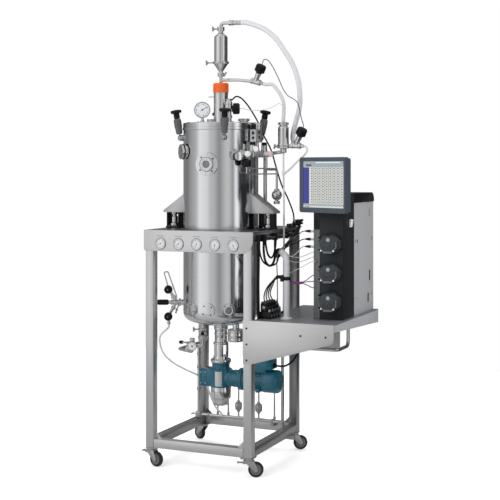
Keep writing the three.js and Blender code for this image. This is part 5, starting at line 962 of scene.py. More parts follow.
# Lid with its ports and clamp rings
lid = Piece("vesselLid", "polished_steel", "vessel_lid").use("vessel")
lidRadius = vesselRadius + 2
lid.turned([(0, rimTop + 0.3), (lidRadius, rimTop + 0.3), (lidRadius, lidTop - 3),
    (lidRadius - 3, lidTop), (0, lidTop)], (0, midY, 0), up, 160, 1.0)
lid.use("rubber").ring(190, lidRadius - 0.6, rimTop - 0.6, rimTop + 1.6, (0, midY, 0), up, 160, 0)
lid.use("polished").stud(-88, -90, lidTop - 2, lidTop + 10, 12)
lid.stud(68, -100, lidTop - 2, lidTop + 10, 16)
for x, y in ((-92, 40), (86, 48)):
    lid.use("polished").turned([(0, -2), (22, -2), (22, 12), (30, 13), (30, 18), (28, 19), (28, 21),
        (30, 22), (30, 26), (0, 26)], (x, y, lidTop))
    lid.use("zinc").rod((x + 26, y - 8, lidTop + 19), (x + 40, y - 16, lidTop + 19), 4, 16)
bolts(lid, "zinc", (0, midY, lidTop + 2), up, 12, 178, 5, 4, 15)
lid.done()

# Hand nuts of the lid clamps
nut = {"bore": 5.4, "start": 20, "end": 100, "head": 28.5, "top": 148, "ribs": 16, "knurls": 14}
for i, angle in enumerate(clampAngles):
    piece = Piece(f"clampNut_{i + 1}", "black_plastic", f"clamp_nut_{i + 1}", f"nut_{i + 1}")
    foot, way = onVessel(angle, vesselRadius + 17, clampLevel), clampWay(angle)
    piece.use("sleeve").turned([(nut["bore"], nut["start"]), (15, nut["start"]), (17, 30), (18, 52),
        (19, 56), (19, 94), (16, nut["end"]), (nut["bore"], nut["end"]),
        (nut["bore"], nut["start"])], foot, way, 36, 1.5)
    piece.use("black").turned([(0, 120), (nut["bore"], nut["end"]), (15, 101), (15, 126), (27, 131),
        (nut["head"], 134), (nut["head"], 140), (25, 145), (0, nut["top"])], foot, way, 40, 2.0)
    ribs(piece, "sleeve", foot + way * 75, way, nut["ribs"], 18.6, (2.0, 2.2, 34))
    ribs(piece, "black", foot + way * 114, way, nut["knurls"], 14.8, (1.6, 2.4, 20))
    piece.done()
print("lid and nuts made")

# Gauge on the lid
viewerSide = outward(24)
gauge = {"radius": 43, "deep": 26, "rise": 69}
lidGauge = Piece("lidGauge", "polished_steel", "lid_gauge").use("polished")
foot = Vector((-88, -90, lidTop + 10.3))
middle = Vector((-88, -90, lidTop + gauge["rise"]))
lidGauge.rod(foot, middle - up * 30, 7).rod(foot, foot + up * 9, 11, 6)
r, d = gauge["radius"], gauge["deep"]
lidGauge.turned([(0, 0), (r - 5, 0), (r - 1, 4), (r - 1, d - 8), (r, d - 7), (r, d - 1), (r - 1, d),
    (r - 5, d), (r - 6, d - 3), (0, d - 3)], middle - viewerSide * d / 2, viewerSide, 64)
dialFace(lidGauge, middle + viewerSide * (d / 2 - 2.4), viewerSide, r - 6.5, 55, "blueInk", 31)
lidGauge.done()


def valveCap(piece, foot, aim, radius, long, finish="black"):
    # a black hand cap with ribs pressed round it
    piece.use(finish).turned([(0, 0), (radius * 0.55, 0), (radius * 0.6, long * 0.12),
        (radius - 1.2, long * 0.2), (radius - 1.2, long * 0.86), (radius - 5, long), (0, long)],
        foot, aim, 40, 2)
    ribs(piece, finish, foot + aim * long * 0.53, aim, 24, radius - 1.6, (2.6, 2.6, long * 0.62))


lidValve = Piece("lidValve", "brushed_sheet", "lid_valve").use("polished")
lidValveFoot = Vector((68, -100, lidTop + 10.3))
lidValve.turned([(0, 0), (15, 0), (15, 14), (19, 15), (19, 19), (17.5, 20), (17.5, 22), (19, 23),
    (19, 26), (14, 28), (14, 60), (19, 62), (19, 78), (17, 79), (17, 82), (19, 83), (19, 96),
    (10, 104), (10, 112), (0, 112)], lidValveFoot)
lidValveSide = outward(90 + 24)
valveCap(lidValve, lidValveFoot + up * 62 + lidValveSide * 15, lidValveSide, 29, 42)
lidValve.done()

# Exhaust condenser with its orange cap
base = low("exhaust_condenser").z
condenser = Piece("exhaustCondenser", "polished_steel", "exhaust_condenser")
condenser.use("polished").turned([(26, 0), (46, 0), (46, 7), (37, 9), (37, 150), (38, 151),
    (38, 158), (26, 158), (26, 0)], (0, midY, base), up, 64)
condenser.use("zinc").block((-69, midY - 8, base + 136), (-31, midY + 8, base + 140), 0.8)
condenser.use("polished").rod((31, midY, probeExit.z), probeExit - Vector((4, 0, 0)), 8)
condenser.use("rubber").turned([(4.2, 0), (8, 0), (5, 20), (4.2, 20), (4.2, 0)],
    probeExit - Vector((6, 0, 0)), (1, 0, 0), 20)
for z in (24, 124):
    condenser.use("pipe").rod((0, midY + 31, base + z), (0, midY + 63, base + z), 7)
bolts(condenser, "zinc", (0, midY, base + 8), up, 6, 41.5, 3.2, 4)
condenser.done()
cap = Piece("condenserCap", "orange_cap", "condenser_cap").use("orange")
cap.turned([(0, 0), (39, 0), (39.4, 3), (39.4, 44), (37.5, 50), (0, 50)],
    (0, midY, condenserTop + 0.3), up, 64, 1.5)
ribs(cap, "orange", (0, midY, condenserTop + 24), up, 48, 39.3, (2.0, 2.2, 40))
cap.done()
print("lid fittings made")


def wingNut(piece, centre, direction, reach):
    # a screw with a crosswise wing, as on pipe clamps
    along = Vector(direction).normalized()
    tip = Vector(centre) + along * reach
    across = Vector((-along.y, along.x, 0)) * 7 + up * 12
    piece.rod(centre, tip, 3.6, 16)
    piece.turned([(0, -8), (6, -8), (6, 0), (0, 0)], tip - along * 2, along, 6)
    piece.turned([(0, 0), (5, 1), (3.4, 13.5), (5, 26), (0, 27.4)], tip - across, across, 20, 2)


# Exhaust filter housing on the axis
filterSizes = {"radius": 35, "body": 113, "shoulder": 235, "tube": 9}
vent = Piece("exhaustFilter", "polished_steel", "exhaust_filter").use("polished")
vent.turned([(0, 0), (8.5, 0), (8.5, 34), (18, 35), (18, 39), (16, 43), (18, 47), (18, 53),
    (10.5, 54), (11.5, 62), (37, 100), (43, 102), (43, 105), (40.5, 106.5), (43, 108), (43, 111),
    (filterSizes["radius"], filterSizes["body"]), (filterSizes["radius"], filterSizes["shoulder"]),
    (33, 243), (12, 261), (12, 271), (19, 272), (19, 280), (17, 282), (19, 284), (19, 292),
    (11, 293), (0, 293)], (0, midY, ventFoot), up, 64, 1.2)
corner = Vector((0, midY, elbowLevel))
vent.pipe([(0, midY, ventFoot + 290), corner, exhaustEnd - exhaustAim * 0.3], filterSizes["tube"],
    20, 24)
vent.use("pipe").rod(corner + exhaustAim * 46, corner + exhaustAim * 72, 14, 6, 1)
vent.turned([(0, 0), (12, 0), (12, 14), (10.5, 17), (12, 20), (12, 39.6), (0, 39.6)],
    corner + exhaustAim * 78, exhaustAim, 32)
for spot, way, reach in (((0, midY, ventFoot + 106.5), (-1, -0.3, 0), 76),
        ((0, midY, ventFoot + 282), (-1, -0.4, 0), 42), ((0, midY, ventFoot + 44), (0.9, -0.6, 0),
        44)):
    wingNut(vent.use("zinc"), spot, way, reach)
vent.done()


def angleValve(piece, run, body, arm, capReach):
    # a run of tube with a body, and an arm that carries the black cap
    piece.use("polished").pipe(run, 8, 20, 24)
    axis = (run[-1] - run[-2]).normalized()
    piece.turned([(0, 0), (13, 0), (15, 3), (15, 12), (13.6, 15), (13.6, 41), (15, 44), (15, 53),
        (13, 56), (0, 56)], body - axis * 26, axis, 32)
    piece.turned([(0, 0), (13, 4), (13, capReach * 0.72), (14, capReach * 0.74), (14, capReach + 2),
        (0, capReach + 2)], body, arm, 32)
    valveCap(piece, body + arm * capReach, arm, 27, 48)
    knurls = body + arm * (capReach + 25)
    for shift in (-9, 0, 9):
        piece.use("black").ring(24, 27, -1.6, 1.6, knurls + arm * shift, arm, 40, 0.6)
    piece.rod(body + arm * (capReach + 46), body + arm * (capReach + 47.5), 15, 32)


bypassCap = Vector((30, -8, 62)).normalized()
inletCap = Vector((38, -10, 74)).normalized()
bypass = Piece("bypassValve", "brushed_sheet", "bypass_valve")
angleValve(bypass, [(8.8, midY, ventFoot + 15.3), (98, midY, ventFoot + 13.3), bypassBody,
    bypassEnd - bypassAim * 0.3], bypassBody, bypassCap, 46)
bypass.done()

inlet = Piece("inletFilter", "polished_steel", "inlet_filter").use("polished")
inlet.turned([(0, 0), (16, 0), (16, 6), (33, 8), (33, 14), (30, 17), (33, 20), (33, 26), (28, 30),
    (28, 110), (26, 116), (20, 124), (20, 126), (28, 128), (28, 132), (26, 134), (28, 136),
    (28, 140), (10, 142), (10, 146), (0, 146)], (inletX, inletY, inletFoot), up, 48)
wingNut(inlet.use("zinc"), (inletX, inletY, inletFoot + 17), (-0.8, -0.7, 0), 48)
inlet.done()
inletBody = Vector((inletX + 67, inletY, inletFoot + 20))
inletArm = Piece("inletValve", "brushed_sheet", "inlet_valve")
angleValve(inletArm, [(inletX + 34, inletY, inletFoot + 17), inletBody,
    inletBody + Vector((44, 0, -2))], inletBody, inletCap, 52)
inletArm.use("polished").pipe([inletBody, (inletBody.x, hoseReturn.y, inletBody.z),
    (hoseReturn.x, hoseReturn.y, inletBody.z), hoseReturn - up * 0.3], 9, 10)
inletArm.done()
print("filters and valves made")


# Utility valves at the side of the rim: a ring of pipe with its hand valves and drops
utility = {"reach": 227, "drop": 231, "level": rimTop - 138, "block": rimTop - 32, "angle": 81}
z, reach, bearing = (utility[key] for key in ("level", "reach", "angle"))
valves = Piece("utilityValves", "brushed_sheet", "utility_valves").use("pipe")
valves.swept(flowing([onVessel(a, reach, z) for a in (42, 60, 78, 95, 112)], 9), 13, 22)
for angle in (48, 66, 84, 100):
    spot = onVessel(angle, reach, z)
    along = Vector((cos(radians(angle)), sin(radians(angle)), 0))
    valves.use("zinc").turned([(13, -6), (18, -5), (18, -1), (16.5, 0), (18, 1), (18, 5), (13, 6),
        (13, -6)], spot, along, 32, 0.6)
turned = standing((0, midY, 0), bearing)
bz, bt = utility["block"] - 46, utility["block"] + 20
outline = [(-236, bz), (-200, bz), (-200, bt), (-236, bt)]
bores = (bz + 22, bz + 47)
valves.use("sheet").plate(outline, "x", -30, 14, 0, [arc(-218, z, 8, 360, 15, 23) for z in bores],
    turned)
valves.block((-16, -236, bz), (30, -200, bt), 1, turned)
# the dark plate at the bottom of each bore is painted shade
for bore in bores:
    valves.use("ink").block((-17, -227, bore - 9), (-16.4, -209, bore + 9), 0, turned)
    valves.rod(onVessel(bearing, 235, bore + 4), onVessel(bearing, 236.3, bore + 4), 9, 24, 0.2)
for a, b in ((-24, bz + 5), (24, bz + 5), (-24, bt - 5), (24, bt - 5)):
    valves.use("zinc").rod(turned @ Vector((a, -236, b)), turned @ Vector((a, -237.4, b)), 3, 12)
face = onVessel(bearing, 226, bt)
valves.use("polished").turned([(0, -1), (22, -1), (22, 6), (24, 7), (24, 12), (22, 13), (22, 16),
    (24, 17), (24, 24), (20, 26), (20, 32), (0, 32)], face)
valves.use("black").block((-26, -232, bt), (-12, -206, bt + 28), 3, turned)
valves.use("polished").rod(onVessel(62, 196, z), onVessel(62, reach, z), 15)
side = onVessel(46, 195.3, z - 12)
valves.turned([(0, 0), (21, 0), (21, 16), (19, 18), (21, 20), (21, 60), (0, 60)], side, outward(46))
valves.use("black").turned([(21, 28), (22.4, 29), (22.4, 54), (21, 55), (21, 28)], side,
    outward(46))
valves.use("pipe").rod(onVessel(bearing, reach, z), onVessel(bearing, 219, rimTop - 72), 11)
for i, angle in enumerate((54, 70, 90, 106)):
    side = up if i % 2 else outward(angle)
    spot = onVessel(angle, reach, z)
    valves.use("polished").turned([(0, -16), (17, -16), (17, -6), (15, -4), (15, 14), (17, 16),
        (17, 26), (15, 28), (15, 46), (0, 46)], spot, side, 32)
    cap = ("white", "black", "pink", "black")[i]
    valves.use(cap).turned([(0, 45), (13, 45), (14, 48), (14, 58), (12, 62), (0, 62)], spot, side,
        32)
    ribs(valves, cap, spot + side * 53, side, 16, 13.6, (2, 2, 9))
hand = onVessel(57, 243, z - 40)
valves.use("polished").rod(onVessel(57, 230, z - 8), hand + up * 14, 8)
valves.use("black").turned([(0, -26), (15, -26), (22, -22), (24, -12), (24, 6), (18, 12), (9, 16),
    (0, 16)], hand, up, 36, 2)
ribs(valves, "black", hand - up * 6, up, 20, 23.4, (2.4, 2.4, 20))
valves.use("dial").rod(onVessel(72, 240, z + 26), onVessel(72, 240, z + 26) + viewerSide * 12, 14,
    32)
for level, start in ((z - 73, 63), (z - 101, 60)):
    route = [onVessel(start, 229, z - 6), onVessel(start, 229, level), onVessel(90, 236, level),
        (280, 34, level)]
    valves.use("polished").pipe(route, 3.4, 9, 12)
for angle in (112, 119):
    foot = onVessel(angle, utility["drop"], deckTop + 0.3)
    valves.use("pipe").rod(foot, onVessel(angle, utility["drop"], z), 9)
    valves.use("zinc").turned([(0, 0), (17, 0), (17, 8), (13, 12), (0, 12)], foot, up, 32)
valves.use("pipe").rod(onVessel(108, 229, z - 2), onVessel(122, 231, z - 2), 9)
ball = Vector((280, 34, lugBottom + 92))
valves.pipe([onVessel(90, 257, z), onVessel(90, 257, z - 78), (280, 34, z - 78), ball], 6, 10, 14)
valves.use("polished").ball(ball, 27, 32)
valves.rod(ball - up * 46, ball, 9).rod(ball - up * 46, ball - up * 30, 16)
valves.turned([(9, 24), (14, 25), (14, 31), (9, 32), (9, 24)], ball, up, 28)
valves.use("ink").ring(26.2, 27.6, -1, 1, ball, outward(114), 40, 0)
valves.use("pipe").rod(onVessel(106, reach, z), (inletX, inletY, inletFoot - 10), 9)
valves.use("polished").turned([(0, 0), (14, 0), (16, 3), (16, 15.7), (0, 15.7)],
    (inletX, inletY, inletFoot - 16), up, 32)
valves.done()
print("utility valves made")

# Drive under the vessel: seal housing, gearbox, motor with its fins, covered shaft
drive = {"housing": 78, "lantern": 88, "flange": 13, "neck": 34, "gear": 93, "motor": 211,
    "motorRadius": 51, "fins": 14, "fanCover": 88}
housingTop = dishBottom - 10.3
lanternTop = housingTop - drive["housing"]
flangeTop = lanternTop - drive["lantern"]
flangeBottom = flangeTop - drive["flange"]
gearTop = flangeBottom - 0.3 - drive["neck"]
gearBottom = gearTop - drive["gear"]
gearCentre = (gearTop + gearBottom) / 2
housing = Piece("driveHousing", "polished_steel", "drive_housing").use("polished")
tall, thick = drive["housing"], drive["flange"]
housing.turned([(12.8, -tall - 10), (39, -tall - 10), (39, -tall), (32, 3 - tall), (32, -40),
    (34, -38), (34, -30), (32, -28), (32, -12), (36, -10), (36, -0.3), (19, 0), (19, 38.3),
    (12.8, 38.3), (12.8, -tall - 10)], (0, midY, housingTop), up, 56)
housing.turned([(12.8, -thick), (54, -thick), (54, 0), (39, 0), (39, 20), (33, 20), (33, 8),
    (12.8, 4), (12.8, -thick)], (0, midY, flangeTop), up, 56)
for start in (-4, 116, 236):  # the walls between the windows of the lantern
    outline = arc(0, midY, 39, start, start + 68, 10) + arc(0, midY, 33, start + 68, start, 10)
    housing.plate(outline, "z", flangeTop + 19, drive["lantern"] - 28, 0)
bolts(housing, "zinc", (0, midY, flangeTop + 2), up, 8, 47, 4.5, 5)
bolts(housing, "zinc", (0, midY, lanternTop + 1), up, 6, 36, 2.6, 4)
housing.done()

gears = Piece("gearbox", "teal_paint", "gearbox").use("teal")
tall, neck = drive["gear"], drive["neck"]
gears.turned([(12.8, -tall), (56, -tall), (58, 3 - tall), (58, -3), (56, 0), (46, 0),
    (46, neck - 8), (49, neck - 7), (49, neck - 0.3), (12.8, neck), (12.8, -tall)],
    (0, midY, gearTop), up, 56, 1.6)
gears.block((-106, midY - 44, gearBottom + 2), (40, midY + 44, gearTop - 2), 4)
gears.block((-101, midY - 45.4, gearBottom + 9), (-62, midY + 45.4, gearTop - 9), 2)
crosswise = (1, 0, 0)
gears.turned([(0, 38), (45, 38), (45, 60), (43, 64), (43, 76), (45, 80), (45, 112), (57, 113),
    (57, 124), (9, 124), (9, 62), (0, 62)], (0, midY, gearCentre), crosswise, 48, 1.4)
gears.block((38, midY - 4, gearBottom + 4), (120, midY + 4, gearTop - 4), 1.2)
for a in (-1, 1):
    for b in (-1, 1):
        spot = Vector((-81 + a * 13, midY - 45.6, gearCentre + b * 28))
        gears.use("zinc").rod(spot, spot - Vector((0, 2.4, 0)), 4.2, 6)
# painted highlight: a pale sheet band on the front of the hub, made as a blank nameplate
highlightPlate = arc(0, midY, 58.3, -96, -60, 12) + arc(0, midY, 58.3 * 1.012, -60, -96, 12)
gears.use("sheet").plate(highlightPlate, "z", gearBottom + 8, 76, 0)
bolts(gears, "zinc", (112, midY, gearCentre), crosswise, 4, 51, 4, 4)
gears.done()

motorStart = 124.3
motorEnd = motorStart + drive["motor"]
fanStart = drive["motor"] - drive["fanCover"]
motor = Piece("motorHousing", "teal_paint", "motor_housing").use("teal")
r = drive["motorRadius"]
motor.turned([(8.3, 0), (57, 0), (57, 10), (r + 2, 12), (r, 15), (r, fanStart),
    (58.4, fanStart + 1), (59, 126)]
    + [(radius, along) for along, radius in arc(drive["motor"] - 18, 41, 18, 90, 0, 8)]
    + [(0, drive["motor"]), (0, 117), (36, 117), (36, 14), (8.3, 14), (8.3, 0)],
    (motorStart, midY, gearCentre), crosswise, 56, 0.6)
for i in range(drive["fins"] * 2):
    motor.block((motorStart + 14, -1.2, r - 1), (motorStart + fanStart - 4, 1.2, r + 6), 0.5,
        standing((0, midY, gearCentre), 360 * (i + 0.5) / (drive["fins"] * 2), "X"))
face = Vector((motorEnd, midY, gearCentre))
for ring in (16, 24, 32):
    motor.use("ink").ring(ring, ring + 3, -0.4, 0.2, face, crosswise, 40, 0)
for angle in range(0, 180, 30):  # bars of the fan grille
    motor.use("teal").block((-0.6, -1.4, -38), (0.3, 1.4, 38), 0, standing(face, angle, "X"))
motor.use("ink").ring(59.1, 59.5, 0, 2.4, (motorStart + 132, midY, gearCentre), crosswise, 56, 0)
boxLeft, boxFoot = motorStart + 46, gearCentre + r - 6
motor.use("teal").block((boxLeft, midY - 44, boxFoot + 17), (boxLeft + 128, midY + 44,
    boxFoot + 66), 3)
motor.block((boxLeft - 2, midY - 46, boxFoot + 66), (boxLeft + 130, midY + 46, boxFoot + 84), 4)
motor.block((boxLeft + 10, midY - 34, boxFoot), (boxLeft + 98, midY + 34, boxFoot + 18), 1.5)
for x in (boxLeft + 8, boxLeft + 120):
    for y in (midY - 37, midY + 37):
        motor.use("zinc").stud(x, y, boxFoot + 82, boxFoot + 83.8, 3.2, 12)
glandFoot = Vector((boxLeft + 126, midY, boxFoot + 36))
motor.use("black").turned([(0, 0), (12, 0), (12, 8), (10, 9), (10, 16), (7, 18), (0, 18)],
    glandFoot, crosswise, 24)
for x in (motorStart + 40, motorStart + 100):
    motor.use("teal").block((x - 10, midY - 44, gearCentre - 56),
        (x + 10, midY - 24, gearCentre - 36), 1.5)
motor.done()

coverTop = gearBottom - 0.3
cover = Piece("shaftCover", "polished_steel", "shaft_cover").use("polished")
cover.turned([(0, -97), (31, -97), (38, -94), (43, -85), (43, -62), (50, -60), (53, -57), (53, 0),
    (0, 0)], (0, midY, coverTop), up, 56, 1.5)
cover.use("ink").ring(53, 53.3, -1, 0.6, (0, midY, coverTop - 22), up, 56, 0)
cover.done()
print("drive made")

# Piping under the vessel: bottom valve, condensate line with its gauge, header with traps
piping = {"x": -95, "y": -70, "headerY": 221, "headerZ": 160, "left": -262, "right": 236,
    "traps": (-22, 97), "risers": (-147, -83, 189)}
x, y = piping["x"], piping["y"]
lineZ, lowZ = dishBottom - 112, dishBottom - 146
lines = Piece("condensatePiping", "brushed_sheet", "condensate_piping").use("pipe")
lines.turned([(0, -96), (11, -96), (11, -76), (25, -72), (25, -67), (23, -66), (25, -65), (25, -60),
    (14, -58), (22, -48), (22, -36), (14, -31), (25, -29), (25, -25), (23, -24), (25, -23),
    (25, -18), (11, -17), (11, 10), (0, 10)], (x, y, dishBottom))
wingNut(lines.use("zinc"), (x, y, dishBottom - 24), (-0.9, -0.4, 0), 48)
wingNut(lines, (x, y, dishBottom - 66), (0.8, -0.6, 0), 48)
lines.use("black").rod((x, y, dishBottom - 42), (x + 14, y - 34, dishBottom - 42), 9)
left, right = piping["left"], piping["right"]
hy, hz = piping["headerY"], piping["headerZ"]
lines.use("pipe").pipe([(x, y, dishBottom - 90), (x, y, lineZ), (x - 62, y, lineZ),
    (x - 62, y, lowZ), (left, y + 60, lowZ), (left, hy, lowZ), (left, hy, hz - 8)], 9, 14)
for level in (lowZ - 60, 420, 300):
    lines.use("zinc").ring(9, 12.5, -7, 7, (left, hy, level), up, 28)
seat = Vector((x - 62, y, lineZ))
lines.use("pipe").rod(seat, seat + viewerSide * 34, 6)
lines.use("zinc").turned([(0, 18), (23, 18), (25, 20), (25, 33), (23, 34), (21.5, 34), (21, 32),
    (0, 32)], seat, viewerSide)
dialFace(lines, seat + viewerSide * 32.6, viewerSide, 21, 70, "ink", 21)
lines.use("polished").turned([(0, -2), (13, -2), (13, 16), (11, 18), (13, 20), (13, 38), (0, 38)],
    seat, up, 32)
leverSpot = Vector((x - 92, y + 11, dishBottom - 106))
lines.rod(leverSpot - up * 24, leverSpot - up * 0.3, 8).ball(leverSpot - up * 26, 17, 28)
lines.ring(17, 19, -3, 3, leverSpot - up * 26, (0.8, 0.6, 0), 32)
lines.use("pipe").rod((left - 16, hy, hz), (right, hy, hz), 9)
lines.rod((left - 40, hy, hz), (left - 12, hy, hz), 5)
lines.rod((left - 40, hy - 16, hz), (left - 40, hy + 16, hz), 4)
lines.use("zinc").block((left - 16, hy - 14, hz - 15), (left + 16, hy + 14, hz + 17), 2)
footTop = skidFloor - 0.3
lines.use("pipe").stud(right, hy, footTop - 10, 560, 9)
lines.use("zinc").block((right - 14, hy - 13, footTop - 22), (right + 66, hy + 13, footTop), 2)
for spot in (left + 60, right - 60):
    lines.block((spot - 8, hy, hz - 30), (spot + 8, legY - half - 0.3, hz - 6))
    lines.ring(9, 12, -5, 5, (spot, hy, hz), (1, 0, 0), 28)
for spot in piping["traps"]:
    lines.use("pipe").stud(spot, hy, hz, 360, 5)
    lines.use("zinc").turned([(0, 0), (9, 0), (9, 5), (19, 14), (19, 27), (20.5, 28), (20.5, 32),
        (19, 33), (19, 46), (9, 55), (9, 60), (0, 60)], (spot, hy, hz + 34), up, 36)
    lines.stud(spot, hy, 345, 360, 8, 6)
for spot in piping["risers"]:
    lines.use("pipe").stud(spot, hy, hz, 330, 5)
    lines.use("zinc").stud(spot, hy, 316, 330, 8, 6)
    lines.stud(spot, hy, hz + 12, hz + 24, 8, 6)
lines.done()

lever = Piece("drainLever", "black_plastic", "drain_lever", "lever")
lever.place = Matrix.Translation(leverSpot)
lever.use("zinc").stud(0, 0, 0, 9, 10, 28).block((-34, -8, 2), (-4, 8, 8))
lever.stud(0, 0, 8, 11, 6, 6)
lever.use("black").turned([(0, 0), (7, 1), (9, 5), (9, 18), (8, 22), (0, 22)], (-52, 0, 5),
    (1, 0, 0), 28, 2)
lever.done()
print("piping made")

# Sampling valve on the left, with its black grip and knobs
sampler = Piece("sampleLine", "polished_steel", "sample_line").use("polished")
gripSeat = sampleHub + sampleOut * 40
knobAim = outward(24)
sampler.rod(sampleFoot, gripSeat - sampleOut * 0.3, 9)
sampler.turned([(0, 2), (21, 2), (21, 5.4), (19, 6.4), (19, 7.6), (21, 8.6), (21, 12), (0, 12)],
    sampleFoot, sampleOut)
sampler.turned([(0, 14), (12, 14), (14, 18), (14, 33), (12, 36), (12, 44), (14, 46), (14, 52),
    (0, 52)], sampleFoot, sampleOut, 36)
for sign in (1, -1):
    arm = armBall(sign)
    sampler.rod(sampleHub, arm, 8).ball(arm, 14, 28)
    sampler.turned([(8, 26), (12, 27), (12, 38), (8, 39), (8, 26)], sampleHub, arm - sampleHub, 28)
    sampler.rod(arm, arm + knobAim * 19.7, 8)
wingNut(sampler.use("zinc"), sampleFoot + sampleOut * 7, (-0.2, -0.5, -1), 50)
rimZ = armBall(1).z + 88


def loopSpot(reach, z):
    spot = sampleHub + sampleOut * reach
    return Vector((spot.x, spot.y, z))


sampler.use("polished").pipe([armBall(1), loopSpot(66, rimZ), loopSpot(44, rimZ),
    loopSpot(0, sampleHub.z + 34), sampleHub], 3.5, 8, 12)
sampler.turned([(0, 0), (9, 0), (9, 12), (6, 14), (6, 31), (0, 31)], armBall(-1) - up * 43.7, up,
    28)
sampler.done()
handles = {"Upper": (1, "knob_upper"), "Lower": (-1, "knob_lower")}
for label, (sign, body) in handles.items():
    knob = Piece("sampleKnob" + label, "black_plastic", "sample_knob_" + label.lower(), body)
    seat = armBall(sign) + knobAim * 20
    knob.use("black").turned([(0, 0), (9, 0), (10, 4), (20, 7), (21, 9), (21, 25), (18, 30),
        (0, 30)], seat, knobAim, 40, 2)
    ribs(knob, "black", seat + knobAim * 17, knobAim, 18, 20.6, (2.6, 3.2, 15))
    knob.use("zinc").rod(seat + knobAim * 29.4, seat + knobAim * 30, 6, 20, 0.2)
    knob.done()
grip = Piece("sampleGrip", "black_plastic", "sample_grip", "grip").use("black")
grip.turned([(0, 0), (10, 0), (14, 6), (13, 30), (14, 55), (10, 60), (0, 60)], gripSeat, sampleOut,
    36, 2)
ribs(grip, "black", gripSeat + sampleOut * 32, sampleOut, 12, 13.2, (2, 3.4, 40))
grip.done()
print("sampling valve made")

# Shelf: tray with its flanges, apron and handle, and the front bracket
shelf = {"left": 295.3, "right": 721, "front": -321, "back": 372, "sheet": 4, "lip": 36,
    "backLip": 70, "apron": 248, "handleX": 430, "handleZ": shelfTop - 178}
left, right, front, back = (shelf[key] for key in ("left", "right", "front", "back"))
tray = Piece("shelfTray", "brushed_sheet", "shelf_tray").use("counter")
tray.block((left, front, shelfTop - shelf["sheet"]), (right, back, shelfTop), 0.8)
tray.use("cabinet").plate([(front, shelfTop - 1), (front, shelfTop - shelf["lip"]),
    (back, shelfTop - shelf["backLip"]), (back, shelfTop - 1)], "x", right - 3, 3, 0.5)
tray.use("sheet").block((left, back - 3, shelfTop - shelf["backLip"]), (right, back, shelfTop - 1),
    0.5)
tray.block((left, front, shelfTop - 60), (left + 3, legY + half, shelfTop - 1), 0.5)
apronLow = shelfTop - shelf["apron"]
tray.use("apron").plate([(300, apronLow), (508, apronLow + 20), (508, shelfTop - 60),
    (300, shelfTop - 60)], "y", back - 3.2, 3, 0.5)
hx, hz = shelf["handleX"], shelf["handleZ"]
tray.use("pipe").pipe([(hx, back - 2, hz), (hx, 40, hz), (612, 40, hz), (612, 200, hz),
    (612, 200, shelfTop - 3)], 9, 26, 20)
for spot, aim in (((hx, back - 3, hz), toViewer), ((612, 200, shelfTop - 4), -up)):
    tray.use("zinc").turned([(9, 0), (17, 0), (17, 5), (9, 6), (9, 0)], spot, aim, 32)
tray.done()

bracketFront = low("shelf_bracket").y
bracket = Piece("shelfBracket", "brushed_sheet", "shelf_bracket").use("sheet")
outline = [(249, shelfTop), (249, shelfTop - 214), (295, shelfTop - 214)]
outline += arc(right - 24, shelfTop - 72, 24, -76, 0, 8) + [(right, shelfTop)]
bracket.plate(outline, "y", bracketFront, high("shelf_bracket").y - bracketFront, 0.6)
for x, drop in ((269, 40), (269, 118), (269, 196), (552, 60), (680, 60)):  # screws
    bracket.use("ink").turned([(0, -0.2), (5.4, -0.2), (5.4, 0.5), (3.2, 0.6), (0, 0.3)],
        (x, bracketFront, shelfTop - drop), toViewer, 20, 0)
bracket.done()

# Solenoid valves and the conduit on the shelf
manifold = {"left": 303.3, "front": -250, "pitch": 34, "count": 4, "back": -120}
foot = shelfTop + 0.3
coils = Piece("solenoidManifold", "black_plastic", "solenoid_manifold").use("black")
left = manifold["left"]
coils.block((left, manifold["front"], foot), (left + 62, manifold["back"], foot + 34), 1.5)
solenoidRows = [manifold["front"] + 14 + i * manifold["pitch"] for i in range(manifold["count"])]
for y in solenoidRows:
    coils.use("black").block((left + 6, y - 12, foot + 33), (left + 40, y + 12, foot + 76), 2.5)
    coils.use("slate").block((left + 8, y - 9, foot + 75), (left + 36, y + 9, foot + 84), 1.5)
    coils.use("zinc").stud(left + 23, y, foot + 83, foot + 84.6, 4, 6)
    coils.stud(left + 50, y, foot + 30, foot + 46, 7, 6)
    coils.use("black").turned([(0, 46), (6.4, 46), (6.4, 54), (5, 56), (5, 62), (0, 62)],
        (left + 50, y, foot), up, 20)
    coils.use("zinc").rod((left + 62, y, foot + 15), (left + 62.6, y, foot + 15), 6, 20, 0.2)
    coils.rod((left + 23, y - 12.2, foot + 56), (left + 23, y - 12.8, foot + 56), 8, 20, 0.2)
    coils.block((left + 40, y - 10, foot + 52), (left + 40.6, y + 10, foot + 58), 0.2)
    coils.block((left - 0.4, y - 12, foot + 20), (left + 62.4, y - 8, foot + 26), 0.3)
coils.use("zinc").turned([(0, 0), (20, 0), (20, 8), (18, 10), (18, 12), (21, 13), (21, 30),
    (19, 34), (0, high("solenoid_manifold").z - foot)], (left + 31, manifold["back"] + 24, foot),
    up, 36)
coils.use("glass").stud(left + 31, -96, foot + 14, foot + 44, 19.6)
coils.use("zinc").rod((left + 31, manifold["back"] - 4, foot + 17), (left + 31, -96, foot + 17), 8)
coils.done()

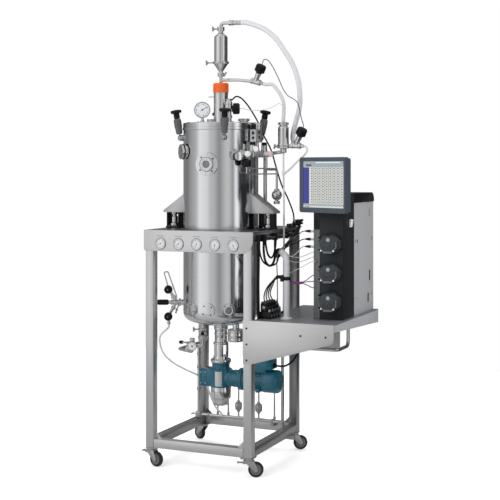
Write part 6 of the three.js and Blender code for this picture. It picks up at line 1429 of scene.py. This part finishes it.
post = {"x": 430, "y": -200, "tall": 300, "radius": 16, "arm": (-52, 50, 30)}
conduit = Piece("conduitPost", "grey_plastic", "conduit_post").use("pale")
base = Vector((post["x"], post["y"], foot))
elbow = base + up * post["tall"]
conduitEnd = elbow + Vector(post["arm"])
conduit.turned([(0, 0), (30, 0), (30, 5), (27, 6), (19, 6), (17, 12), (0, 12)], base)
bolts(conduit, "zinc", base + up * 6, up, 4, 24, 3, 3)
route = bent([base + up * 4, elbow, conduitEnd], 34, 10)
conduit.use("pale").swept(route, 14.6, 24)
along, step = 0.0, 9.0
for a, b in zip(route, route[1:]):  # rings of the corrugated conduit
    span = (b - a).length
    while along < span:
        spot = a + (b - a) * (along / span)
        conduit.turned([(14, -2.6), (16, -1.6), (16, 1.6), (14, 2.6), (14, -2.6)], spot, b - a, 24,
            0)
        along += step
    along -= span
conduit.use("black").turned([(9, -14), (15, -14), (15.8, -12), (15.8, 1), (12, 3), (9, 3),
    (9, -14)], conduitEnd, Vector(post["arm"]), 28)
conduit.done()
print("shelf made")

# Control tower: steel cabinet behind, dark front with its cap and the monitor bracket
tower = {"left": towerLow.x, "right": towerHigh.x, "front": towerHigh.y - 503, "split": towerLow.y,
    "chamfer": 47, "chamferDeep": 34, "cap": 48, "capRound": 40, "pumpX": towerLow.x + 106,
    "switchY": towerLow.y - 61, "switchZ": shelfTop + 470.3}
left, right, front, back = tower["left"], tower["right"], tower["front"], towerHigh.y
cabinet = Piece("towerCabinet", "brushed_sheet", "tower_cabinet").use("cabinet")
cabinet.block((left, tower["split"], towerLow.z), (right, back, towerHigh.z), 1.6)
for y, z, wide, tall in ((287, 958, 16, 52), (262, 844, 16, 46), (87, 1144, 8, 16)):
    cabinet.use("zinc").block((right - 1, y - wide / 2 - 1.5, z - tall / 2 - 1.5),
        (right + 0.4, y + wide / 2 + 1.5, z + tall / 2 + 1.5), 0.3)
    cabinet.use("ink").block((right - 1, y - wide / 2, z - tall / 2), (right + 0.8, y + wide / 2,
        z + tall / 2), 0)
plates(cabinet, "zinc", standing((right, 285, 1284), 90, "Y"), 36.0, 16.0, 8, 3, (2.6, 5.0, 0.8))
for y, z in ((62, 1150), (62, 860), (318, 1150), (318, 860)):
    cabinet.use("zinc").turned([(0, 0), (5, 0), (5, 1), (3, 2), (0, 2)], (right, y, z), (1, 0, 0),
        20)
for z in (towerLow.z + 6, towerHigh.z - 6):
    cabinet.use("ink").block((left + 2, back - 0.5, z - 0.5), (right - 2, back + 0.05, z + 0.5), 0)
cabinet.use("zinc").rod((left + 80, back - 1, 1060), (left + 80, back + 0.2, 1060), 9)
cabinet.done()

topZ = towerHigh.z + 0.3
capTop = topZ + tower["cap"]
fascia = Piece("towerFascia", "dark_paint", "tower_fascia").use("dark")
seam, switchY, switchZ = tower["split"] - 0.3, tower["switchY"], tower["switchZ"]
chamfer, deep = tower["chamfer"], tower["chamferDeep"]
outline = [(left, seam), (left, front + deep), (left + chamfer, front), (right - 6, front),
    (right - 6, seam)]
fascia.plate(outline, "z", towerLow.z, capTop - towerLow.z, 1.2)
window = [(switchY + a * 17.5, switchZ + b * 24) for a, b in ((-1, -1), (1, -1), (1, 1), (-1, 1))]
fascia.use("graphite").plate([(front, towerLow.z), (seam, towerLow.z), (seam, capTop),
    (front, capTop)], "x", right - 6, 10, 1, [window])
fascia.use("gloss").turned([(27, 0), (33, 0), (33, 1.4), (27, 2.2), (27, 0)], (right + 4, switchY,
    switchZ), (1, 0, 0), 4, 0.6, 45)
capRound = tower["capRound"]
split = tower["split"] - 2
fascia.plate([(split, topZ), (back, topZ)] + arc(back - capRound, capTop - capRound, capRound, 0,
    90, 14) + [(split, capTop)], "x", left, right + 4 - left, 2)
edge = standing((left, front + deep, 0), -degrees(atan2(deep, chamfer)))
stripLong = hypot(chamfer, deep)
fascia.use("strip").block((3, -1.2, towerLow.z + 2), (stripLong - 4, 0.6, 1212), 0.5, edge)
fascia.use("graphite").block((3, -1.0, 1216), (stripLong - 4, 0.6, capTop - 3), 0.5, edge)
fascia.use("ink").block((left + 48, front - 0.5, 1215), (right - 2, front + 0.1, 1217.4), 0)
for z in (towerLow.z + 158, towerLow.z + 300):
    fascia.block((left + 50, front - 0.4, z), (right - 8, front + 0.1, z + 0.8), 0)
fascia.use("ink").block((right - 6.4, front - 0.3, towerLow.z + 2), (right - 5.4, front + 0.1,
    capTop - 2), 0)
swivel = {"x": 673.5, "y": -199.4, "z": towerHigh.z - 3, "tilt": 96, "turn": -22}
sx, sy, sz = swivel["x"], swivel["y"], swivel["z"]
fascia.use("black").block((sx - 30, front - 6, sz - 34), (sx + 30, front + 1, sz + 34), 1.5)
fascia.block((sx - 16, sy, sz - 8), (sx + 16, front - 4, sz), 1.5)
fascia.stud(sx, sy, sz - 12, sz, 20, 36, 1)
fascia.use("zinc").stud(sx, sy, sz - 12, sz + 26, 12, 32, 1)
for a in (-22, 22):
    for b in (-26, 24):
        fascia.use("zinc").rod((sx + a, front - 6, sz + b), (sx + a, front - 8, sz + b), 3.6, 6)


pump = {"wide": 110, "tall": 102, "base": 12, "deep": 48, "wall": 3, "corner": 32, "slant": 26,
    "levels": (90.3, 229.3, 373.3)}
pumpX, base, deep = tower["pumpX"], pump["base"], pump["deep"]


def octagon(x, z, slimmer, lower, sharper=0.0):  # the outline of a pump, less what is given
    w, h, c = (pump["wide"] - slimmer) / 2, (pump["tall"] - lower) / 2, pump["corner"] - sharper
    return [(x + a, z + b) for a, b in ((-w + c, -h), (w - c, -h), (w, -h + c), (w, h - c),
        (w - c, h), (-w + c, h), (-w, h - c), (-w, -h + c))]


hingeX = pumpX - pump["wide"] / 2 - 4
hingeY = front - base - 6.3
for level in pump["levels"]:
    z = shelfTop + level
    fascia.use("graphite").plate(octagon(pumpX, z, 0, 0), "y", front - base, base + 1, 1)
    fascia.use("zinc").rod((pumpX, front - 11, z), (pumpX, front - 40, z), 6)
    for side in (-1, 1):
        pin = Vector((hingeX, hingeY, z + side * 26))
        fascia.use("black").rod(pin, pin + up * side * 8, 4, 20, 0.4)
        fascia.use("zinc").rod(pin - up * side * 16, pin + up * side, 1.6, 12, 0.2)
        fascia.use("black").block((hingeX - 2, hingeY, pin.z), (hingeX + 10, front + 1,
            pin.z + side * 8), 0.6)
fascia.done()

# Pump heads: smoked covers over their rotors
for i, level in enumerate(pump["levels"]):
    place = Matrix.Translation((hingeX, hingeY, shelfTop + level))
    cover = Piece(f"pumpCover_{i + 1}", "dark_paint", f"pump_cover_{i + 1}", f"cover_{i + 1}")
    cover.place = place
    mid, lidFront = pumpX - hingeX, 5.7 - deep
    rimY, wall = lidFront + pump["slant"], pump["wall"]
    outer, hollow = octagon(mid, 0, 0, 0), octagon(mid, 0, 2 * wall, 2 * wall, 1.5)
    cover.use("smoke").plate(outer, "y", rimY, deep - pump["slant"], 1.2, [hollow])
    small = octagon(mid, 0, 22, 20, 5)
    points = []  # the slanted lid: outer rim, front, inner rim, inside of the front
    for outline, y in ((outer, rimY), (small, lidFront), (hollow, rimY),
            (octagon(mid, 0, 27, 25, 6), lidFront + wall)):
        points += [(x, y, z) for x, z in outline]
    faces = [(k, (k + 1) % 8, 8 + (k + 1) % 8, 8 + k) for k in range(8)] + [tuple(range(8, 16))]
    faces += [(16 + k, 24 + k, 24 + (k + 1) % 8, 16 + (k + 1) % 8) for k in range(8)]
    faces += [tuple(reversed(range(24, 32)))]
    faces += [(k, 16 + k, 16 + (k + 1) % 8, (k + 1) % 8) for k in range(8)]
    cover.keep(points, faces, None, 0.8, 20)
    cover.use("black").ring(1.8, 4, -17.6, 17.6, (0, 0, 0), up, 20, 0.4)
    cover.block((2.4, -4, -17), (7, 1, 17), 0.8)
    cover.use("cover").block((mid - 22, lidFront - 4, -44), (mid + 22, lidFront + 6, -33), 1.2)
    cover.use("white").rod((mid - 33, lidFront + 5, -31), (mid - 33, lidFront - 2, -31), 4.2, 20)
    cover.rod((mid + 30, lidFront + 5, -31), (mid + 30, lidFront - 2, -31), 4.2, 20)
    rim = [Vector((x, lidFront + 0.4, z)) for x, z in small]
    for k in (6, 7, 0, 1, 2):  # painted highlights: pale strips along the lit edges of the moulding
        cover.use("edge").swept([rim[k] * 0.99 + rim[(k + 1) % 8] * 0.01,
            rim[k] * 0.01 + rim[(k + 1) % 8] * 0.99], 1.1, 8)
    # a pale disc near the top of the front is a painted glare
    cover.use("edge").turned([(0, -0.4), (8, -0.4), (10, 0.2), (0, 1.2)], (mid + 3, lidFront, 22),
        (0, -1, 0), 28, 1)
    for k in (-15, 2, 17):
        x, z = mid + k, abs(k) / 4 - 16
        cover.use("ink").rod((x, lidFront + 1, z), (x, lidFront - 0.5, z), 3.6, 20, 0.2)
    cover.done()
    rotor = Piece(f"pumpRotor_{i + 1}", "grey_plastic", f"pump_rotor_{i + 1}", f"pump_{i + 1}")
    rotor.place = Matrix.Translation((pumpX, front - base - 0.3, shelfTop + level))
    rotor.use("cover").ring(6.6, 30, 0, 5, (0, 0, 0), (0, -1, 0))
    for k in range(3):
        angle = radians(120 * k)
        roller = Vector((20 * cos(angle), 0, 20 * sin(angle)))
        rotor.use("white").rod(roller + toViewer * 4.5, roller + toViewer * 21, 8, 28)
        rotor.use("zinc").rod(roller + toViewer * 20, roller + toViewer * 22, 3, 16)
    rotor.done()

rocker = Piece("powerSwitch", "white_silicone", "power_switch", "rocker").use("white")
rocker.place = Matrix.Translation((right + 1, switchY, switchZ))
rocker.plate([(-4.5, -21), (9, -19), (12, 0), (15, 18), (-1, 21), (-5, 0)], "y", -17, 34, 1.2)
rocker.use("ink").ring(4, 5.2, 0, 0.5, (13.6, 0, 11), (1, 0, -0.16), 24, 0)
rocker.block((10.3, -0.8, -14), (11, 0.8, -7), 0)
rocker.done()
print("tower and pumps made")

# Monitor on its tilting yoke
screenSize = {"wide": 148, "tall": 134, "front": -83, "back": -37, "sideEdge": 24, "endEdge": 22}
yoke = Piece("monitorYoke", "black_plastic", "monitor_yoke", "yoke").use("black")
yoke.place = standing((sx, sy, sz), swivel["turn"])
yoke.turned([(12.4, 0.3), (24, 0.3), (24, 20), (22, 22), (12.4, 22), (12.4, 0.3)])
yoke.block((-40, 15, 0.3), (40, 23, 108), 2)
yoke.block((-20, 12, 0.3), (20, 17, 22))
for side in (-1, 1):
    yoke.use("black").block((side * 32, -10, 84), (side * 40, 16, 108), 2)
    yoke.use("zinc").rod((min(side * 33, side * 22), 0, 96), (max(side * 33, side * 22), 0, 96), 6)
    yoke.rod((side * 40, 0, 96), (side * 42, 0, 96), 8, 6)
for z in (40, 62):
    yoke.use("zinc").rod((0, 22.6, z), (0, 25, z), 4, 6)
yoke.done()

display = Piece("monitor", "grey_plastic", "monitor", "screen").use("slate")
display.place = standing((sx, sy, sz + swivel["tilt"]), swivel["turn"])
w, h = screenSize["wide"], screenSize["tall"]
front, back = screenSize["front"], screenSize["back"]


def rounded(w, h, radius, steps=5, lift=0):
    a, b = w - radius, h - radius
    return [p for i, (x, z) in enumerate(((a, -b), (a, b), (-a, b), (-a, -b))) for p in arc(x,
        z + lift, radius, 90 * i - 90, 90 * i, steps)]


glassMiddle = 6
glassWide, glassTall = w - screenSize["sideEdge"] + glassMiddle, h - screenSize["endEdge"]
opening = [(x + glassMiddle, z) for x, z in rounded(glassWide, glassTall, 2, 2, 3)]
display.plate(rounded(w, h, 12), "y", front, 6, 1.6, [opening])
display.plate(rounded(w, h, 12), "y", front + 6.3, 20, 1.2)
display.plate(rounded(w - 5, h - 5, 10), "y", front + 26, back - front - 26, 3)
display.plate(rounded(w - 1.2, h - 1.2, 11), "y", front + 5, 2.4, 0)
display.block((-w + 50, back - 1, -58), (w - 50, back + 10, h - 40), 3)
plates(display, "ink", standing((0, back + 10.2, 60), 90, "X"), 120.0, 40.0, 2, 7, (66.0, 2.0, 1.0))
for side in (-1, 1):
    a, b = sorted((side * 30.5, side * 18.5))
    display.use("slate").block((a, back, -9), (b, 0, 9))
    display.ring(6.4, 9, a, b, (0, 0, 0), (1, 0, 0), 28, 0.4)
level = front + 3
gl, gr = glassMiddle - glassWide + 0.4, glassMiddle + glassWide - 0.4
gb, gt = 3 - glassTall + 0.4, 3 + glassTall - 0.4
# What the screen shows: left, right, bottom, top and how far it stands out
panes = {
    "screen": (gl, gr, gb, gt, 0.2),
    "screenTeal": (gl, gr, gt - 27, gt, 0.6),
    "screenInk": (gl + 18, gl + 54, gt - 25, gt - 14, 0.9),
    "screenLight": (gl + 80, gr - 20, gt - 9, gt - 4, 0.9),
    "screenBlue": (gl, gl + 38, gb + 18, gt - 29, 0.6),
}
for tint, (a, b, c, d, proud) in panes.items():
    display.use(tint).block((a, level - proud, c), (b, level + 1, d), 0)
names = standing((gl + 20, level - 0.8, (gb + gt) / 2 - 4), 90, "X")
table = standing(((gl + 44 + gr) / 2, level - 0.6, (gb + gt) / 2 - 4), 90, "X")
plates(display, "slate", names, 8.0, 168.0, 2, 13, (7.0, 1.8, 0.5))
plates(display, "screenLines", table, 0.1, 174.0, 2, 15, (204.0, 1.3, 0.4))
plates(display, "screenLines", table, 168.0, 0.1, 8, 2, (2.6, 178.0, 0.4))
plates(display, "screenInk", table, 192.0, 162.0, 9, 14, (11.0, 4.0, 0.7))
display.use("screenTeal").block((gl, level - 0.6, gb + 8), (gr, level, gb + 17), 0)
display.use("screenInk").block((gl + 8, level - 0.9, gb + 2), (gl + 40, level, gb + 5), 0)
display.use("cover").rod((-2, front + 0.5, -h + 11), (-2, front - 0.8, -h + 11), 4, 20)
display.done()
print("monitor made")

# Clips, connectors and sleeves that hold the free lines
clipLevel = deckTop - 32
postTie = Vector((post["x"] - post["radius"], post["y"], shelfTop + 200))
bundleTie = Vector((326, -58, deckTop - 118))
ties = Piece("cableTies", "black_plastic").use("black")
for y in (-205, -60, 90, 225):
    ties.block((295.2, y - 9, clipLevel - 20), (322, y + 9, clipLevel + 16), 2)
ties.block((295.2, -276, clipLevel - 10), (310, -240, clipLevel + 14), 2)
ties.turned([(0, -24), (15, -24), (19, -18), (19, 18), (15, 24), (0, 24)], bundleTie,
    (-0.05, 0.92, 0.4), 28, 2)
ties.turned([(16.2, -9), (19.5, -8), (19.5, 8), (16.2, 9), (16.2, -9)], (post["x"], post["y"],
    postTie.z), up, 32)
ties.block((postTie.x - 14, postTie.y - 14, postTie.z - 16), (postTie.x + 2, postTie.y + 14,
    postTie.z + 16), 2)
ties.turned([(0, 0), (13, 0), (13, 6), (8, 12), (0, 12)], (331, 0, shelfTop + 0.3), up, 28)
ties.turned([(0, 0), (12, 0), (12, 5), (7, 14), (0, 14)], (456, 10, shelfTop - 4.2), -up, 28)
for x, y, rise, turn in ((292, 238, 13, 12), (296, 222, 26, 4), (290, 204, 12, -8),
        (288, 252, 28, 20)):
    plug, way = Vector((x, y, deckTop + rise)), outward(90 + turn) + up * 0.18
    ties.use("black").turned([(0, 0), (8, 0), (9, 4), (9, 26), (7, 30), (7, 40), (5, 52), (0, 52)],
        plug, way, 24)
    ties.use("zinc").ring(9, 10.4, 8, 16, plug, way, 24)
ties.use("slate").block((268, 196, deckTop + 0.3), (300, 256, deckTop + 18), 2)
plugLevels = (deckTop - 2, deckTop - 42, deckTop - 79)
plugY = tower["front"] + 80
for z in plugLevels:
    ties.use("nickel").rod((tower["left"] - 0.3, plugY, z), (506, plugY, z), 5.5)
    ties.use("black").turned([(0, 0), (7, 0), (7, 12), (4.6, 26), (3, 30), (0, 30)],
        (507, plugY, z), (-1, 0, 0), 24)
ties.use("red").block((555, tower["front"] + 5, 1051), (568, tower["front"] + 14, 1060), 2)
ties.use("violet").swept(flowing([(474, -102, 944), (452, -116, 941), (428, -134, 950)], 6), 6.5,
    16)
ties.use("white").stud(331, 0, 1478, 1500, 7).rod((331, 0, 1490), (343, -2, 1492), 7)
ties.done()

tail = Vector(post["arm"]).normalized()
capTip, inletTip = bypassBody + bypassCap * 93.5, inletBody + inletCap * 99.5
lidTip = lidValveFoot + up * 62 + Vector((0.9135, 0.4067, 0)) * 57
lines = {
    "supplyTube": ([(331, 0, inletFoot - 16), (332, 0, 1500), (333, 2, 1300), (333, 2, 1100),
        (332, 1, 900), (331, 0, shelfTop + 10)], 4.6, "silicone"),
    "drainTube": ([(440, 0, inletFoot + 18), (456, -2, inletFoot + 14), (463, -5, 1606),
        (452, -7, 1586), (424, -8, 1562), (396, -8, 1536), (368, -6, 1510), (343, -2, 1492)], 5,
        "silicone"),
    "airLine": ([capTip, capTip + bypassCap * 12, (246, -62, 2068), (262, -62, 2071),
        (282, -62, 2054), (304, -62, 2020), (332, -62, 1966), (358, -64, 1912), (386, -68, 1880),
        (412, -70, 1866), (434, -66, 1846), (442, -58, 1812), (446, -42, 1768),
        inletTip + Vector((3, -2, 14)), inletTip], 2.4, "greyWire"),
    "lidLine": ([lidTip, lidTip + Vector((14, 5, 0)), (180, -70, 1812), (240, -62, 1813),
        (290, -48, 1828), (322, -34, 1846), (340, -30, 1826), (338, -32, 1790), (333, -30, 1752)],
        1.6, "paleWire"),
    "motorCable": ([(314, -50, gearCentre + 81), (334, -50, gearCentre + 80), (362, -46, 512),
        (394, -34, 536), (422, -18, 584), (442, -4, 642), (453, 6, 704), (456, 10, shelfTop - 18)],
        5, "rubber"),
    "outerLoop": ([(309, -205, clipLevel - 18), (309, -206, 1110), (310, -190, 1056),
        (312, -150, 1028), (312, -100, 1030), (311, -66, 1064), (309, -60, 1110),
        (309, -60, clipLevel - 18)], 6, "rubber"),
    "innerLoop": ([(316, -200, clipLevel - 18), (317, -192, 1120), (318, -170, 1082),
        (319, -135, 1066), (318, -100, 1078), (317, -76, 1112), (316, -64, clipLevel - 18)], 5,
        "rubber"),
    "slackLoop": ([(303, -244, clipLevel - 8), (303, -240, 1100), (306, -205, 1050),
        (318, -140, 1026), (330, -90, 1036), (330, -64, 1066)], 4, "rubber"),
    "signalLine": ([(353, -134, shelfTop + 62), (354, -136, 880), (356, -144, 980),
        (357, -150, 1060), (364, -150, 1088), conduitEnd - tail * 2 - up * 4], 2.6, "greyWire"),
    "redLead": ([(560, tower["front"] + 6, 1056), (544, -148, 1054), (504, -152, 1034),
        (462, -162, 1010), (430, -176, 994), (postTie.x - 4, -190, postTie.z + 14)], 1.8,
        "paleWire"),
    "violetTail": ([(postTie.x - 6, -188, postTie.z - 6), (408, -170, 964), (414, -148, 958),
        (430, -134, 950), (452, -116, 942), (472, -103, 944)], 4, "rubber"),
}
for i, (start, after, later) in enumerate(((982, 978, 958), (950, 950, 948), (918, 920, 932))):
    lines[f"violetLead_{i + 1}"] = ([(539, -84, start), (520, -86, after), (496, -94, later),
        (474, -102, 945 - i * 2)], 2.2, ("violet", "violet", "greyWire")[i])
for i, z in enumerate(plugLevels):
    drop = (26, 20, 34)[i]
    lines[f"towerLead_{i + 1}"] = ([(514, plugY, z), (488, plugY, z), (462, plugY, z - 3),
        (432, -66, z - drop), (396, -58, z - drop * 1.6), (362, -54, (z + bundleTie.z) / 2 - 14),
        (338, -56, bundleTie.z + 8 - i * 6)], 2.4, ("greyWire", "rubber", "paleWire")[i])
for i, z in enumerate((1096, 1072)):
    lines[f"paleLead_{i + 1}"] = ([(539, -64, z), (516, -66, z - 2), (478, -68, z - 18),
        (436, -66, z - 30), (392, -60, z - 26), (340, -56, bundleTie.z - 6 - i * 4)], 1.8,
        "paleWire")
for i, y in enumerate(solenoidRows):  # one cable to each solenoid
    lean = i * 7
    lines[f"solenoidCable_{i + 1}"] = ([(326, y, shelfTop + 84),
        (324 - lean / 2, y, shelfTop + 112), (334, y * 0.9 - 20, 918 + lean),
        (356, y * 0.6 - 76, 952 + lean), (384, -198 + i * 2, 972 + lean / 2),
        (postTie.x - 12, -206 + i * 5, postTie.z - 2 + i * 4)], 3.2, "rubber")
bundleRoute = ((330, 206, -8), (331, 170, -30), (326, 110, -62), (322, 30, -100))
edgeRoute = ((302, -212, 4), (304, -160, 9), (303, -90, 0), (304, -20, 10), (303, 50, 3),
    (304, 130, 12), (304, 190, 8), (303, 226, 5))
for i, (aside, rise) in enumerate(((0, 0), (9, 5), (3, 11))):  # bundle from the deck to the conduit
    end = up * (rise / 2 - 2)
    first = ((308, 244 - i * 6, 14), (322, 232 - i * 3, 8)) + bundleRoute
    lines[f"bundle_{i + 1}"] = ([(x + aside, y, deckTop + z + rise) for x, y, z in first]
        + [bundleTie + Vector((aside - 4, 0, rise - 5)), (342 + aside / 2, -112,
        deckTop - 112 + rise / 2), conduitEnd + tail * 14 + end, conduitEnd - tail * 4 + end], 5,
        "rubber")
    lines[f"edgeCable_{i + 1}"] = ([(x + aside, y, clipLevel + z - rise) for x, y, z in edgeRoute],
        4.6, ("rubber", "greyWire", "rubber")[i])
for i in range(2):  # cables down behind the front right post
    lines[f"postCable_{i + 1}"] = ([(303, -266 + i * 14, clipLevel - 8), (302, -264 + i * 14, 1060),
        (301, -266 + i * 14, 940), (302, -265 + i * 14, 840), (303, -262 + i * 12, shelfTop + 1)],
        5.4, "rubber")
for name, (points, radius, finish) in lines.items():
    cordPiece(name, points, radius, finish, None, 10, "medium" if radius > 4 and finish == "rubber"
        else "limp")
print("free lines laid")

# Solids that keep their own shape
dressed = {"agitator": "polished", "motor_rotor": "zinc"}
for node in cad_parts:
    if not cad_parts[node].hide_render:
        dress(node, dressed.get(node, "pipe"), 0)
